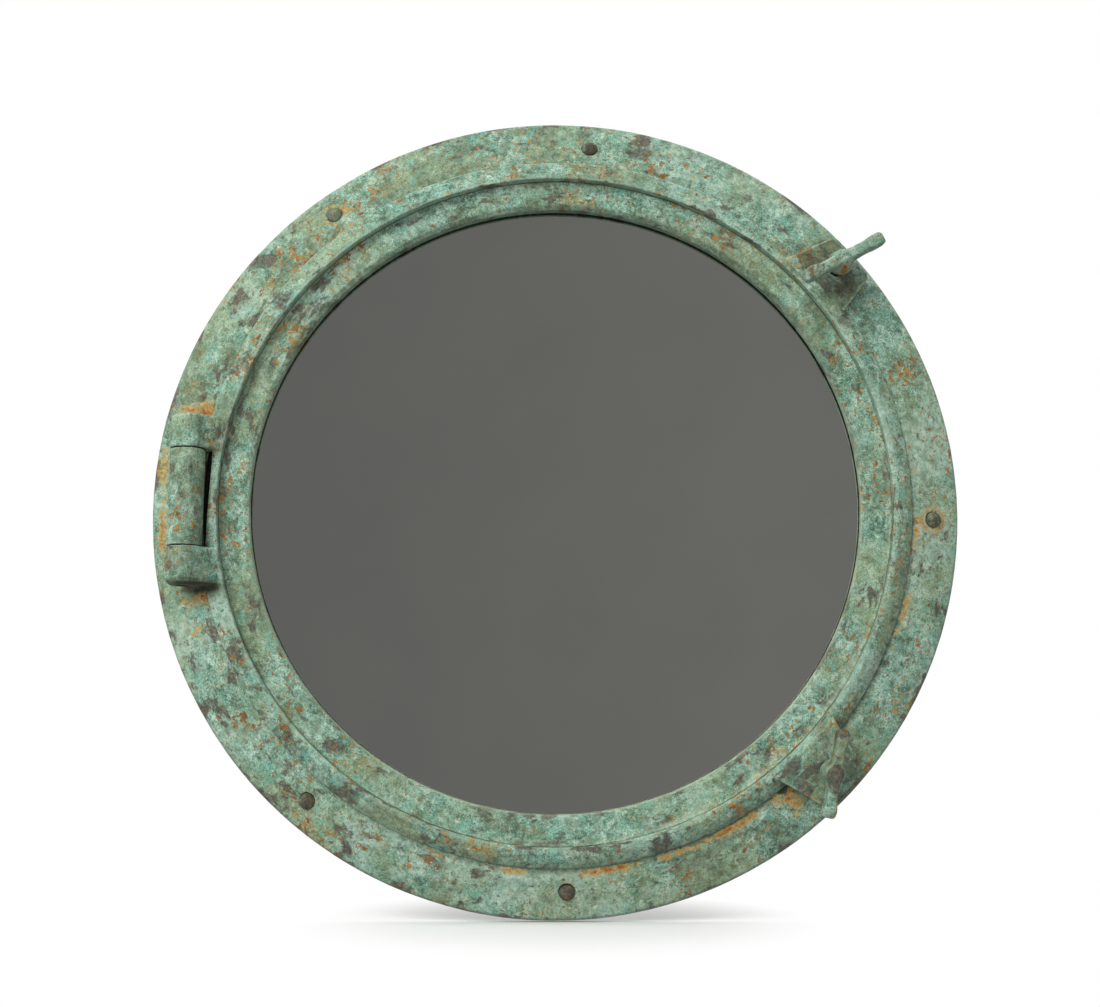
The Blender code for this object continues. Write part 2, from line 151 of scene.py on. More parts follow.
def surface_net(field, axes, wrap):
    """Vertices and quads of the zero surface of a sampled field. With wrap the first axis closes on itself."""
    f = np.concatenate([field, field[:1]]) if wrap else field
    ax = [np.asarray(a, float) for a in axes]
    if wrap:
        ax[0] = np.append(ax[0], ax[0][0] + 2 * np.pi)
    inside = f < 0
    n = [s - 1 for s in f.shape]
    count = np.zeros(n, np.int8)
    for i in (0, 1):
        for j in (0, 1):
            for k in (0, 1):
                count += inside[i : i + n[0], j : j + n[1], k : k + n[2]]
    active = (count > 0) & (count < 8)
    ci = np.stack(np.nonzero(active), axis=1)
    index = np.full(n, -1, np.int64)
    index[active] = np.arange(len(ci))
    total, hits = np.zeros((len(ci), 3)), np.zeros(len(ci))
    for axis in range(3):
        others = [a for a in range(3) if a != axis]
        for p in (0, 1):
            for q in (0, 1):
                lo = ci.copy()
                lo[:, others[0]] += p
                lo[:, others[1]] += q
                hi = lo.copy()
                hi[:, axis] += 1
                f0, f1 = f[tuple(lo.T)], f[tuple(hi.T)]
                cross = (f0 < 0) != (f1 < 0)
                t = np.where(cross, f0 / np.where(cross, f0 - f1, 1), 0)
                at = np.stack([ax[a][lo[:, a]] for a in range(3)], axis=1)
                at[:, axis] += t * (ax[axis][hi[:, axis]] - ax[axis][lo[:, axis]])
                total[cross] += at[cross]
                hits[cross] += 1
    points = total / hits[:, None]
    quads = []
    for axis in range(3):
        b, c = [(1, 2), (2, 0), (0, 1)][axis]
        moved = [slice(None)] * 3
        lo, hi = list(moved), list(moved)
        lo[axis], hi[axis] = slice(0, -1), slice(1, None)
        change = inside[tuple(lo)] != inside[tuple(hi)]
        e = np.stack(np.nonzero(change), axis=1)
        solid_first = inside[tuple(lo)][change]
        if wrap and axis != 0:
            keep = e[:, 0] < n[0]
        else:
            keep = np.ones(len(e), bool)
        for a in (b, c):
            if not (wrap and a == 0):
                keep &= (e[:, a] > 0) & (e[:, a] < f.shape[a] - 1)
        e, solid_first = e[keep], solid_first[keep]
        ring = []
        for db, dc in ((-1, -1), (0, -1), (0, 0), (-1, 0)):
            cell = e.copy()
            cell[:, b] += db
            cell[:, c] += dc
            if wrap:
                cell[:, 0] %= n[0]
            ring.append(index[tuple(cell.T)])
        quad = np.stack(ring, axis=1)
        quad[~solid_first] = quad[~solid_first][:, ::-1]
        quads.append(quad)
    return points, np.concatenate(quads)


def slope(field, p, h=0.15):
    g = np.empty_like(p)
    for a in range(3):
        d = np.zeros(3)
        d[a] = h
        hi, lo = p + d, p - d
        g[:, a] = (field(hi[:, 0], hi[:, 1], hi[:, 2]) - field(lo[:, 0], lo[:, 1], lo[:, 2])) / (2 * h)
    return g


def settle(field, p, rounds=2, limit=0.5):
    """Moves each vertex onto the surface itself."""
    for _ in range(rounds):
        g = slope(field, p)
        g2 = np.maximum((g * g).sum(1), 0.05)
        step = (field(p[:, 0], p[:, 1], p[:, 2]) / g2)[:, None] * g
        size = np.linalg.norm(step, axis=1)
        p = p - step * np.minimum(1, limit / np.maximum(size, 1e-9))[:, None]
    return p


def exposure(field, around, p):
    """wear: how convex the surface is, painted lighter as wear and highlight; grime: how shut in it is by the pieces
    round it, painted darker as dirt and shade.
    """
    g = slope(field, p)
    normal = g / np.maximum(np.linalg.norm(g, axis=1), 1e-6)[:, None]
    h, lap = 1.0, 0.0
    here = field(p[:, 0], p[:, 1], p[:, 2])
    for a in range(3):
        d = np.zeros(3)
        d[a] = h
        hi, lo = p + d, p - d
        lap = lap + field(hi[:, 0], hi[:, 1], hi[:, 2]) + field(lo[:, 0], lo[:, 1], lo[:, 2]) - 2 * here
    lap = lap / (h * h)
    shut = 0.0
    for reach, weight in ((1.2, 0.30), (3.0, 0.35), (7.0, 0.35)):
        q = p + normal * reach
        shut = shut + weight * np.clip(1 - around(q[:, 0], q[:, 1], q[:, 2]) / reach, 0, 1)
    wear = np.clip(lap * 1.1, 0, 1)
    grime = np.clip(shut + np.clip(-lap, 0, 1) * 0.35, 0, 1)
    return wear, grime


def make(name, points, faces, attributes=None, sharp=None):
    """A mesh object from front-frame millimetres, its faces turned outwards."""
    p = np.asarray(points, float)
    world = np.stack([p[:, 0], -p[:, 2], p[:, 1]], axis=1) * MM
    mesh = bpy.data.meshes.new(name)
    faces = np.asarray(faces)
    a, b, c = world[faces[:, 0]], world[faces[:, 1]], world[faces[:, 2]]
    volume = np.einsum("ij,ij->i", a, np.cross(b, c)).sum()
    if faces.shape[1] == 4:
        d = world[faces[:, 3]]
        volume += np.einsum("ij,ij->i", a, np.cross(c, d)).sum()
    if volume < 0:
        faces = faces[:, ::-1]
    n, width = faces.shape
    mesh.vertices.add(len(world))
    mesh.vertices.foreach_set("co", world.astype(np.float32).ravel())
    mesh.loops.add(n * width)
    mesh.loops.foreach_set("vertex_index", faces.astype(np.int32).ravel())
    mesh.polygons.add(n)
    mesh.polygons.foreach_set("loop_start", np.arange(0, n * width, width, dtype=np.int32))
    mesh.polygons.foreach_set("loop_total", np.full(n, width, np.int32))
    mesh.update(calc_edges=True)
    mesh.validate()
    mesh.shade_smooth()
    if sharp is not None:
        mesh.set_sharp_from_angle(angle=math.radians(sharp))
    for key in ("wear", "grime", "stain", "bare", "pale", "shade"):
        values = None if attributes is None else attributes.get(key)
        values = np.zeros(len(world)) if values is None else values
        layer = mesh.attributes.new(key, "FLOAT", "POINT")
        layer.data.foreach_set("value", np.asarray(values, np.float32))
    made = bpy.data.objects.new(name, mesh)
    scene.collection.objects.link(made)
    return made


def compact(points, quads):
    used = np.unique(quads)
    new = np.full(len(points), -1, np.int64)
    new[used] = np.arange(len(used))
    return points[used], new[quads]


def cast_ring(name, field_polar, field, around, theta, r, z):
    """A ring with local features, meshed on an angle, radius and height grid."""
    th = theta[:, None, None]
    values = field_polar(th, r[None, :, None], z[None, None, :])
    points, quads = surface_net(values, (theta, r, z), True)
    points, quads = compact(points, quads)
    p = np.stack([points[:, 1] * np.cos(points[:, 0]), points[:, 1] * np.sin(points[:, 0]), points[:, 2]], axis=1)
    p = settle(field, p)
    wear, grime = exposure(field, around, p)
    print(name, len(p), "vertices", len(quads), "quads")
    return p, quads, wear, grime


def solid(name, low, high, step, field, around=None):
    """A small casting, meshed on a plain grid in its own frame."""
    axes = [np.arange(a - 1.5 * step, b + 2.5 * step, step) for a, b in zip(low, high)]
    values = field(axes[0][:, None, None], axes[1][None, :, None], axes[2][None, None, :])
    points, quads = surface_net(values, axes, False)
    points, quads = compact(points, quads)
    p = settle(field, points, limit=0.4)
    wear, grime = exposure(field, around or field, p)
    print(name, len(p), "vertices", len(quads), "quads")
    return p, quads, wear, grime


def angles(coarse, windows):
    """Stations round a ring, close together inside the windows (centre, half width, step), degrees."""
    out, at = [], -180.0
    while at < 180.0 - 1e-6:
        out.append(at)
        step = coarse
        for centre, half, fine in windows:
            away = abs((at + 0.01 - centre + 180) % 360 - 180)
            if away < half:
                step = min(step, fine)
            elif away < half + coarse:
                step = min(step, max(fine, away - half + 0.02))
        at += step
    if 180.0 - out[-1] < 0.05:
        out.pop()
    return np.radians(np.array(out))


def spaced(*stretches):
    """Grid stations from (from, to, step) stretches."""
    out = []
    for a, b, step in stretches:
        out.extend(np.linspace(a, b, max(1, round((b - a) / step)), endpoint=False))
    out.append(stretches[-1][1])
    return np.array(out)


def lathe(name, profile, steps=96, centre=(0.0, 0.0), wobble=0.0, attributes=None, keep_sharp=40):
    """A closed profile (r, z) spun about z at a centre. A profile that starts and ends on the axis is capped there."""
    pr = np.asarray([q[:2] for q in profile], float)
    on_axis = pr[0, 0] == 0 and pr[-1, 0] == 0
    t = np.arange(steps) * 2 * np.pi / steps
    body = pr[1:-1] if on_axis else pr
    m = len(body)
    x = body[None, :, 0] * np.cos(t)[:, None]
    y = body[None, :, 0] * np.sin(t)[:, None]
    z = np.repeat(body[None, :, 1], steps, axis=0)
    p = np.stack([x, y, z], axis=2).reshape(-1, 3)
    i = np.arange(steps)[:, None]
    j = np.arange(m - 1 if on_axis else m)[None, :]
    nxt = (i + 1) % steps
    a, b = i * m + j, nxt * m + j
    c, d = nxt * m + (j + 1) % m, i * m + (j + 1) % m
    quads = np.stack([a + 0 * j, b, c, d], axis=2).reshape(-1, 4)
    if on_axis:
        first, last = len(p), len(p) + 1
        p = np.concatenate([p, [[0, 0, pr[0, 1]], [0, 0, pr[-1, 1]]]])
        i, nxt = i.ravel(), nxt.ravel()
        tri = np.concatenate(
            [
                np.stack([np.full(steps, first), nxt * m, i * m], axis=1),
                np.stack([np.full(steps, last), i * m + m - 1, nxt * m + m - 1], axis=1),
            ]
        )
        faces = [tuple(q) for q in quads] + [tuple(q) for q in tri]
    else:
        faces = quads
    p = p + np.array([centre[0], centre[1], 0.0])
    if wobble:
        push = uneven(p[:, 0] * 2.2, p[:, 1] * 2.2, p[:, 2] * 2.2, wobble)
        p[:, 2] += push
        away = p[:, :2] - np.array(centre)
        length = np.maximum(np.linalg.norm(away, axis=1), 1e-6)
        p[:, :2] += away / length[:, None] * (push * 0.6)[:, None] * (length > 0.3)[:, None]
    values = None
    if attributes is not None:
        values = attributes(p)
    if isinstance(faces, list):
        return make_mixed(name, p, faces, values, keep_sharp)
    return make(name, p, faces, values, keep_sharp)


def make_mixed(name, p, faces, values, sharp):
    world = np.stack([p[:, 0], -p[:, 2], p[:, 1]], axis=1) * MM
    volume = 0.0
    for f in faces:
        for k in range(1, len(f) - 1):
            volume += np.dot(world[f[0]], np.cross(world[f[k]], world[f[k + 1]]))
    if volume < 0:
        faces = [tuple(reversed(f)) for f in faces]
    mesh = bpy.data.meshes.new(name)
    mesh.from_pydata([tuple(q) for q in world], [], [tuple(int(v) for v in f) for f in faces])
    mesh.update()
    mesh.shade_smooth()
    mesh.set_sharp_from_angle(angle=math.radians(sharp))
    for key in ("wear", "grime", "stain", "bare", "pale", "shade"):
        found = None if values is None else values.get(key)
        found = np.zeros(len(world)) if found is None else found
        layer = mesh.attributes.new(key, "FLOAT", "POINT")
        layer.data.foreach_set("value", np.asarray(found, np.float32))
    made = bpy.data.objects.new(name, mesh)
    scene.collection.objects.link(made)
    return made


# ---- the rings' sections ------------------------------------------------------
FRAME_SECTION = rounded(
    [
        (214.5, 0.05, 0.5),
        (214.5, 17.5, 0.9),
        (216.2, 17.5, 0.35),
        (216.2, 15.0, 0.3),
        (219.4, 15.0, 0.3),
        (219.4, 17.5, 0.35),
        (223.8, 17.5, 1.6),
        (229.0, 16.75, 4.0),
        (238.0, 14.1, 6.0),
        (246.5, 11.1, 6.0),
        (252.2, 8.9, 2.6),
        (253.75, 5.5, 2.2),
        (253.75, 0.05, 1.0),
        (245.0, 0.05, 0.4),
        (243.5, 5.5, 1.2),
        (227.5, 5.5, 1.2),
        (226.0, 0.05, 0.4),
    ],
    4,
)
DOOR_SECTION = rounded(
    [
        (222.1, 17.95, 0.35),
        (222.1, 19.5, 1.2),
        (214.2, 23.6, 2.2),
        (212.6, 24.4, 0.9),
        (209.45, 24.4, 0.7),
        (209.45, 12.5, 0.25),
        (199.2, 12.5, 0.3),
        (199.2, 3.8, 0.3),
        (190.8, 3.8, 0.4),
        (190.8, 1.65, 0.4),
        (203.5, 1.65, 0.6),
        (203.6, 7.4, 0.8),
        (212.7, 7.4, 0.6),
        (212.8, 17.95, 0.3),
    ],
    4,
)
PEDESTAL = rounded([(-239.2, 9.0, 0), (-237.3, 23.0, 3.0), (-228.0, 28.75, 0), (-218.4, 25.75, 0.8), (-220.8, 17.2, 0.5), (-220.8, 9.0, 0)], 4)
ARM = rounded(
    [
        (HINGE_X, HINGE_D + 10.9, 0),
        (-222.0, 37.2, 3.0),
        (-214.5, 31.5, 8.0),
        (-208.6, 26.4, 5.0),
        (-204.8, 21.5, 1.0),
        (-205.5, 18.6, 0.4),
        (-225.6, 18.6, 1.0),
        (-228.0, 20.4, 0.5),
    ],
    4,
)
LUG_PLAN = rounded(
    [(-21.4, -26.0, 0), (-12.4, -23.0, 6.0), (5.6, -18.6, 3.0), (13.2, -17.0, 6.2), (13.2, 17.0, 6.2), (5.6, 18.6, 3.0), (-12.4, 23.0, 6.0), (-21.4, 26.0, 0)],
    6,
)


def drum(along, away_u, away_v, low, high, radius, soft_low, soft_high):
    """A solid cylinder along one axis, with its end edges rounded."""
    rho = np.sqrt(away_u**2 + away_v**2)
    section = rounded([(-radius, low, 0), (radius, low, soft_low), (radius, high, soft_high), (-radius, high, 0)], 4)
    return outline_distance(rho, along + 0 * rho, section)


def in_dog(x, y, z, angle):
    """The local frame of a dog: outwards, round the ring, and away from the wall, from its pivot."""
    c, s = math.cos(math.radians(angle)), math.sin(math.radians(angle))
    return x * c + y * s - DOG_R, -x * s + y * c, z - DOG_D + 0 * x


def with_parts(base, th, r, z, parts):
    """Works each feature into a ring's field, only near the angle where it stands."""
    out = np.array(np.broadcast_to(base, np.broadcast_shapes(th.shape, r.shape, z.shape)))
    flat = np.degrees(th.reshape(-1))
    for centre, half, part in parts:
        rows = np.nonzero(np.abs((flat - centre + 180) % 360 - 180) < half)[0]
        if len(rows) == 0:
            continue
        rr, tt, zz = (a[rows] if a.shape[0] != 1 else a for a in (r, th, z))
        out[rows] = part(out[rows], rr * np.cos(tt), rr * np.sin(tt), zz)
    return out


# ---- the fixed frame's field ---------------------------------------------------
def frame_hinge(d, x, y, z):
    barrel = drum(y, x - HINGE_X, z - HINGE_D, -28.5, 31.5, 10.65, 0.4, 0.4)
    foot = smax(outline_distance(x, z, PEDESTAL), np.abs(y - 1.5) - 29.9, 0.4)
    lump = smin(barrel, foot, 1.2)
    k = 0.8 + 4.5 * ease((-230.5 - x) / 4.0)
    d = smin(d, lump, k)
    return smax(d, 4.3 - np.sqrt((x - HINGE_X) ** 2 + (z - HINGE_D) ** 2), 0.3)


EAR = rounded([(-5.6, -7.5, 0), (5.6, -7.5, 0), (4.2, 0.0, 2.0), (2.9, 4.0, 2.6), (-2.9, 4.0, 2.6), (-4.2, 0.0, 2.0)], 4)


def frame_dog(angle):
    def part(d, x, y, z):
        u, v, w = in_dog(x, y, z, angle)
        ear = smax(outline_distance(u, w, EAR), np.abs(np.abs(v) - 6.1) - 2.0, 0.9)
        d = smin(d, ear, 1.6)
        pocket = smax(np.maximum(-5.2 - u, u - 7.5), np.maximum(np.abs(v) - 3.95, -5.1 - w), 0.4)
        pocket = np.maximum(pocket, w - 9.0)
        d = smax(d, -pocket, 0.5)
        return smax(d, 2.1 - np.sqrt(u**2 + w**2) + 0 * v, 0.2)

    return part


def frame_screw(angle, radius):
    cx, cy = radius * math.cos(math.radians(angle)), radius * math.sin(math.radians(angle))

    def part(d, x, y, z):
        away = np.sqrt((x - cx) ** 2 + (y - cy) ** 2)
        face = smax(away - 5.25, 13.6 - z, 0.2)
        d = smax(d, -face, 0.3)
        return smax(d, 2.8 - away + 0 * z, 0.2)

    return part


FRAME_PARTS = (
    [(180.0, 13.5, frame_hinge)]
    + [(a, 4.0, frame_dog(a)) for _, a, _ in DOGS]
    + [(a, 2.2, frame_screw(a, r)) for a, r in SCREW_PLACES]
)


def frame_polar(th, r, z):
    return with_parts(outline_distance(r, z, FRAME_SECTION), th, r, z, FRAME_PARTS)


def frame_field(x, y, z):
    return frame_polar(np.arctan2(y, x), np.hypot(x, y), z) - uneven(x, y, z, 0.10)


# ---- the door's field ------------------------------------------------------------
def door_hinge(d, x, y, z):
    for sign, near, far in ((1, 32.0, 52.9), (-1, 29.0, 52.9)):
        ay = sign * y
        soft = 2.2 if sign > 0 else 4.6
        knuckle = drum(ay, x - HINGE_X, z - HINGE_D, near, far, 10.75, 0.3, soft)
        arm = smax(outline_distance(x, z, ARM), np.abs(ay - (near + far) / 2) - (far - near) / 2 + 0.25, 1.8 if sign > 0 else 3.6)
        lump = smin(knuckle, arm, 2.0)
        # the arm spreads into the ring on its outer side only
        d = smin(d, smax(lump, near - ay, 0.2), 2.6)
    # never nearer than a hair to the flange or the barrel
    r = np.hypot(x, y)
    clear = 0.30 - outline_distance(r, z, FRAME_SECTION)
    d = smax(d, clear, 0.3)
    notch = smax(smax(x + 216.0 - 2.3 * ease((y + 29.0) / 61.0), np.abs(y - 1.5) - 30.5, 0.6), 15.0 - z, 0.3)
    d = smax(d, -notch, 0.4)
    trim = np.maximum(r - 209.45, 12.6 - z)
    d = smax(d, -trim, 0.4)
    return smax(d, 4.3 - np.sqrt((x - HINGE_X) ** 2 + (z - HINGE_D) ** 2), 0.3)


SLOT = np.array([(24.0, -5.2), (24.0, 5.2)] + [(-0.7 + 5.2 * math.cos(math.radians(a)), 5.2 * math.sin(math.radians(a))) for a in range(90, 271, 15)])


def door_dog(angle):
    def part(d, x, y, z):
        u, v, w = in_dog(x, y, z, angle)
        top = 9.3 - 0.36 * np.maximum(u - 4.0, 0) + 0.35 * ease((-u - 11) / 9)
        bottom = 4.4 - 0.25 * np.maximum(u - 6.5, 0)
        plate = smax(outline_distance(u, v, LUG_PLAN), np.maximum(w - top, bottom - w), 1.3)
        d = smin(d, plate, 1.8)
        r = np.hypot(x, y)
        d = smax(d, 0.35 - outline_distance(r, z, FRAME_SECTION), 0.3)
        trim = np.maximum(r - 209.45, 12.6 - z)
        d = smax(d, -trim, 0.4)
        slot = np.maximum(outline_distance(u, v, SLOT), 1.0 - w)
        return smax(d, -slot, 0.7)

    return part


DOOR_PARTS = [(180.0, 17.0, door_hinge)] + [(a, 9.5, door_dog(a)) for _, a, _ in DOGS]


def door_polar(th, r, z):
    return with_parts(outline_distance(r, z, DOOR_SECTION), th, r, z, DOOR_PARTS)


def door_field(x, y, z):
    return door_polar(np.arctan2(y, x), np.hypot(x, y), z) - uneven(x, y + 900.0, z, 0.09)


GLAZING_SECTION = rounded(
    [(209.3, 12.8, 0.2), (209.3, 19.3, 0.15), (207.9, 18.35, 1.2), (205.4, 17.95, 2.0), (193.8, 17.95, 3.0), (191.0, 16.9, 1.6), (190.45, 15.2, 0.6), (190.45, 12.8, 0.2)],
    5,
)


def closed_door(x, y, z):
    """Everything that shuts a surface in while the door is closed, where it is painted darker as dirt and shade: the
    rings, and the glass.
    """
    th, r = np.arctan2(y, x), np.hypot(x, y)
    rings = np.minimum(frame_polar(th, r, z), door_polar(th, r, z))
    rings = np.minimum(rings, outline_distance(r, z, GLAZING_SECTION))
    return np.minimum(rings, np.maximum(r - 198.8, z - 10.8))


def blob(p, x, y, rx, ry, turn=0.0):
    """A soft oval patch round a point of the front view."""
    c, s = math.cos(math.radians(turn)), math.sin(math.radians(turn))
    u = (p[:, 0] - x) * c + (p[:, 1] - y) * s
    v = -(p[:, 0] - x) * s + (p[:, 1] - y) * c
    return np.exp(-((u / rx) ** 2 + (v / ry) ** 2))


def at_dog(angle, u, v):
    c, s = math.cos(math.radians(angle)), math.sin(math.radians(angle))
    return (DOG_R + u) * c - v * s, (DOG_R + u) * s + v * c


# ---- the two cast rings ---------------------------------------------------------------
windows = [(180.0, 12.6, 0.2)] + [(a, 3.4, 0.22) for _, a, _ in DOGS] + [(a, 2.0, 0.25) for a, _ in SCREW_PLACES]
p, quads, wear, grime = cast_ring(
    "frame_ring",
    frame_polar,
    frame_field,
    closed_door,
    angles(1.25, windows),
    spaced((213.6, 224.0, 0.62), (224.0, 249.5, 0.95), (249.5, 255.0, 0.6)),
    spaced((-0.8, 18.4, 0.72), (18.4, 40.0, 0.92)),
)
radius, bearing = np.hypot(p[:, 0], p[:, 1]), np.arctan2(p[:, 1], p[:, 0])
# rain runs down the joint and stays in its lower half; the same lower-side weight also sets a painted shade along the
# joint below
low_side = ease(0.25 - 0.62 * np.sin(bearing) + 0.30 * np.cos(bearing))
cloudy = cast_waves(p[:, 0], p[:, 1], p[:, 2])
stain = (
    1.25 * blob(p, -221, 58.5, 22, 5.0)
    + 1.05 * blob(p, -217, -60.5, 16, 4.5)
    + 0.85 * blob(p, -245, -14, 5, 24)
    + 0.75 * blob(p, -247, 26, 5, 16)
    + 0.50 * blob(p, -222, -80, 14, 12)
    + 0.45 * blob(p, -231, 75, 12, 9)
    + 0.78 * np.exp(-(((radius - 225.2) / 3.0) ** 2)) * low_side * np.clip(0.70 + 0.6 * cloudy, 0, 1.3)
)
for number, strength in ((2, 0.45), (5, 0.75)):
    angle, at_r = SCREW_PLACES[number - 1]
    x, y = at_r * math.cos(math.radians(angle)), at_r * math.sin(math.radians(angle))
    away = np.hypot(p[:, 0] - x, p[:, 1] - y)
    stain = stain + strength * np.exp(-(((away - 7.2) / 2.0) ** 2))
stain = stain + 0.95 * blob(p, -142.8 + 10, 188.8 - 13, 12, 5.5, 28) + 0.5 * blob(p, -142.8 + 10, 188.8 + 5, 9, 7)
# painted shade: the flange beside the door's wall is darkened along the lower side, where the shade falls
shade = 0.75 * np.exp(-(((radius - 223.6) / 2.6) ** 2)) * low_side
# painted shadow: dark spots under the lower lug's root and under the lower knuckle, added to the grime-and-shade mark;
# the stain is taken out under the lug so the dark shows
x, y = at_dog(-45.1, -11, -25.5)
deep = blob(p, x, y, 6.0, 4.5, -45.1) + 0.9 * blob(p, -213, -56.0, 7, 3.2) + 0.5 * blob(p, -228, -55.0, 12, 1.8)
grime = grime + 1.5 * deep
stain = stain - 1.1 * blob(p, x, y, 4.5, 3.4, -45.1)
for which, angle, _ in DOGS:
    x, y = at_dog(angle, -6, -27 if which == "lower" else 24)
    stain = stain + (0.95 if which == "lower" else 0.45) * blob(p, x, y, 15, 8.0, angle)
x, y = at_dog(-45.1, 3, 24)
stain = stain + 0.45 * blob(p, x, y, 12, 5, -44.5)
bare = 0.35 * np.exp(-(((radius - 252.5) / 2.6) ** 2)) * (p[:, 2] > 5) * np.clip(0.6 + 0.7 * cloudy, 0, 1)
frame_piece = make(
    "frame_ring.cast",
    p,
    quads,
    {"wear": wear, "grime": grime, "stain": np.clip(stain, 0, 1), "bare": bare, "shade": np.clip(shade, 0, 1)},
)

windows = [(180.0, 15.6, 0.2)] + [(a, 8.6, 0.22) for _, a, _ in DOGS]
p, quads, wear, grime = cast_ring(
    "door_ring",
    door_polar,
    door_field,
    closed_door,
    angles(1.25, windows),
    spaced((189.8, 208.0, 1.05), (208.0, 224.0, 0.62), (224.0, 249.6, 0.95)),
    spaced((0.6, 17.0, 1.1), (17.0, 32.0, 0.62), (32.0, 40.0, 0.9)),
)
radius, bearing = np.hypot(p[:, 0], p[:, 1]), np.arctan2(p[:, 1], p[:, 0])
low_side = ease(0.25 - 0.62 * np.sin(bearing) + 0.30 * np.cos(bearing))
# painted light: the rim's inner wall has its grime-and-shade cut and its wear-and-highlight mark raised, so it is
# painted lighter as if lit
inner_wall = (radius < 211.5) & (p[:, 2] > 18.6)
grime = np.where(inner_wall, 0.12 * grime, grime)
wear = np.where(inner_wall, 0.7, wear)
stain = 0.42 * blob(p, -213, 36, 7, 9) + 0.35 * blob(p, -212, 18, 3, 22)
shade = 0.8 * np.exp(-(((radius - 221.0) / 5.0) ** 2)) * (p[:, 2] < 23.2) * (0.25 + 0.75 * low_side)
bare, pale = np.zeros(len(p)), np.zeros(len(p))
for which, angle, _ in DOGS:
    x, y = at_dog(angle, 0, 0)
    plate = blob(p, x, y, 17, 23, angle) ** 0.5 * (radius > 216)
    bare = bare + (0.42 if which == "upper" else 0.30) * plate
    c, s_ = math.cos(math.radians(angle)), math.sin(math.radians(angle))
    u, v = p[:, 0] * c + p[:, 1] * s_ - DOG_R, -p[:, 0] * s_ + p[:, 1] * c
    here = np.nonzero((np.abs(v) < 30) & (np.abs(u) < 28))[0]
    out = np.full(len(p), 9.0)
    out[here] = outline_distance(u[here], v[here], LUG_PLAN)
    root = ease((u + 19.0) / 5.0)
    inside = ease((-out - 0.2) / 0.9) * root * (p[:, 2] > 19.5)
    # the pale outline along the lug's top edges is partly rubbed wear and partly a painted highlight
    rubbed = np.exp(-(((out + 0.5) / 0.55) ** 2)) * ease((u + 14.0) / 4.0) * (p[:, 2] > 20.5)
    strong = np.clip(0.8 + 0.45 * cast_waves(p[:, 0], p[:, 1], p[:, 2]), 0, 1.3)
    shade = np.maximum(shade, (0.85 if which == "upper" else 0.55) * inside * strong)
    # painted shade: the side faces under the lug are darkened
    shade = np.maximum(shade, 0.9 * (np.abs(out) < 1.6) * (p[:, 2] < 24.0) * (u > -15) * (out > -0.9))
    pale = pale + 0.34 * rubbed * strong
x, y = at_dog(39.9, -13, 14)
bare = bare + 0.45 * blob(p, x, y, 9, 8)
# painted shade: the underside of the lower knuckle is darkened, through the shade and the grime-and-shade marks
shade = np.maximum(shade, 1.15 * ease((-p[:, 1] - 47.0) / 3.0) * blob(p, -222, -52, 26, 9))
grime = grime + 1.0 * ease((-p[:, 1] - 49.0) / 2.5) * blob(p, -222, -53, 26, 7)
door_piece = make(
    "door_ring.cast",
    p,
    quads,
    {"wear": wear, "grime": grime, "stain": np.clip(stain, 0, 1), "bare": np.clip(bare, 0, 1), "shade": np.clip(shade, 0, 1), "pale": np.clip(pale, 0, 1)},
)


# ---- glazing ring ------------------------------------------------------------------------
def glazing_marks(p):
    r = np.hypot(p[:, 0], p[:, 1])
    inner = np.exp(-(((r - 190.4) / 0.9) ** 2))
    turn = np.degrees(np.arctan2(p[:, 1], p[:, 0]))
    up = ease((np.sin(np.radians(turn)) + 0.1) / 0.9)
    edge = np.exp(-(((r - 208.7) / 1.0) ** 2)) * (p[:, 2] > 13)
    # painted shade: the groove at the rim's foot is darkened on the upper half only
    grime = 0.3 * up * edge + 1.15 * up * np.exp(-(((r - 209.0) / 0.5) ** 2)) * (p[:, 2] > 13)
    stain = 0.35 * blob(p, -203, 40, 5, 30) + 0.35 * blob(p, 158, 118, 6, 24, 40) + 0.4 * blob(p, 135, -152, 22, 6, 45)
    # along the rim's foot at the lower right, a pale band with ochre: partly a chalky deposit and ochre stain, partly a
    # painted highlight on the lower side
    chalk_and_highlight = (1 - up) * np.exp(-(((r - 207.6) / 1.7) ** 2)) * np.exp(-(((turn + 45.0) / 55.0) ** 2))
    chalk_and_highlight = chalk_and_highlight * np.clip(0.75 + 0.55 * cast_waves(p[:, 0], p[:, 1], 0 * r), 0, 1.2)
    stain = stain + 0.32 * chalk_and_highlight
    # painted highlight: the inner lip is made pale on the lower half, and its wear-and-highlight mark lightens it all
    # round, partly as wear and partly as a painted highlight; the shade mark darkens the inner edge, most on the upper
    # half, as painted shade
    return {"wear": inner, "grime": np.clip(grime, 0, 1), "stain": np.clip(stain, 0, 1), "pale": 0.6 * inner * (1 - up) + 0.40 * chalk_and_highlight, "shade": (0.25 + 0.85 * up) * np.exp(-(((r - 192.2) / 2.4) ** 2))}


glazing_profile = []
for a, b in zip(GLAZING_SECTION, np.roll(GLAZING_SECTION, -1, axis=0)):
    length = float(np.linalg.norm(b - a))
    if length < 0.05:
        continue
    pieces = max(1, round(length / 1.6))
    glazing_profile.extend([tuple(a + (b - a) * k / pieces) for k in range(pieces)])
glazing_piece = lathe("glazing_ring.turned", glazing_profile, 540, wobble=0.07, attributes=glazing_marks, keep_sharp=70)


# ---- wing nuts, bolts, washers --------------------------------------------------------------
HUB = rounded([(-8, 0.1, 0), (7.3, 0.1, 0.6), (7.85, 1.4, 0.8), (6.9, 6.0, 3.0), (6.0, 10.2, 2.0), (4.8, 12.3, 1.5), (2.6, 13.2, 1.0), (-8, 13.2, 0)], 4)


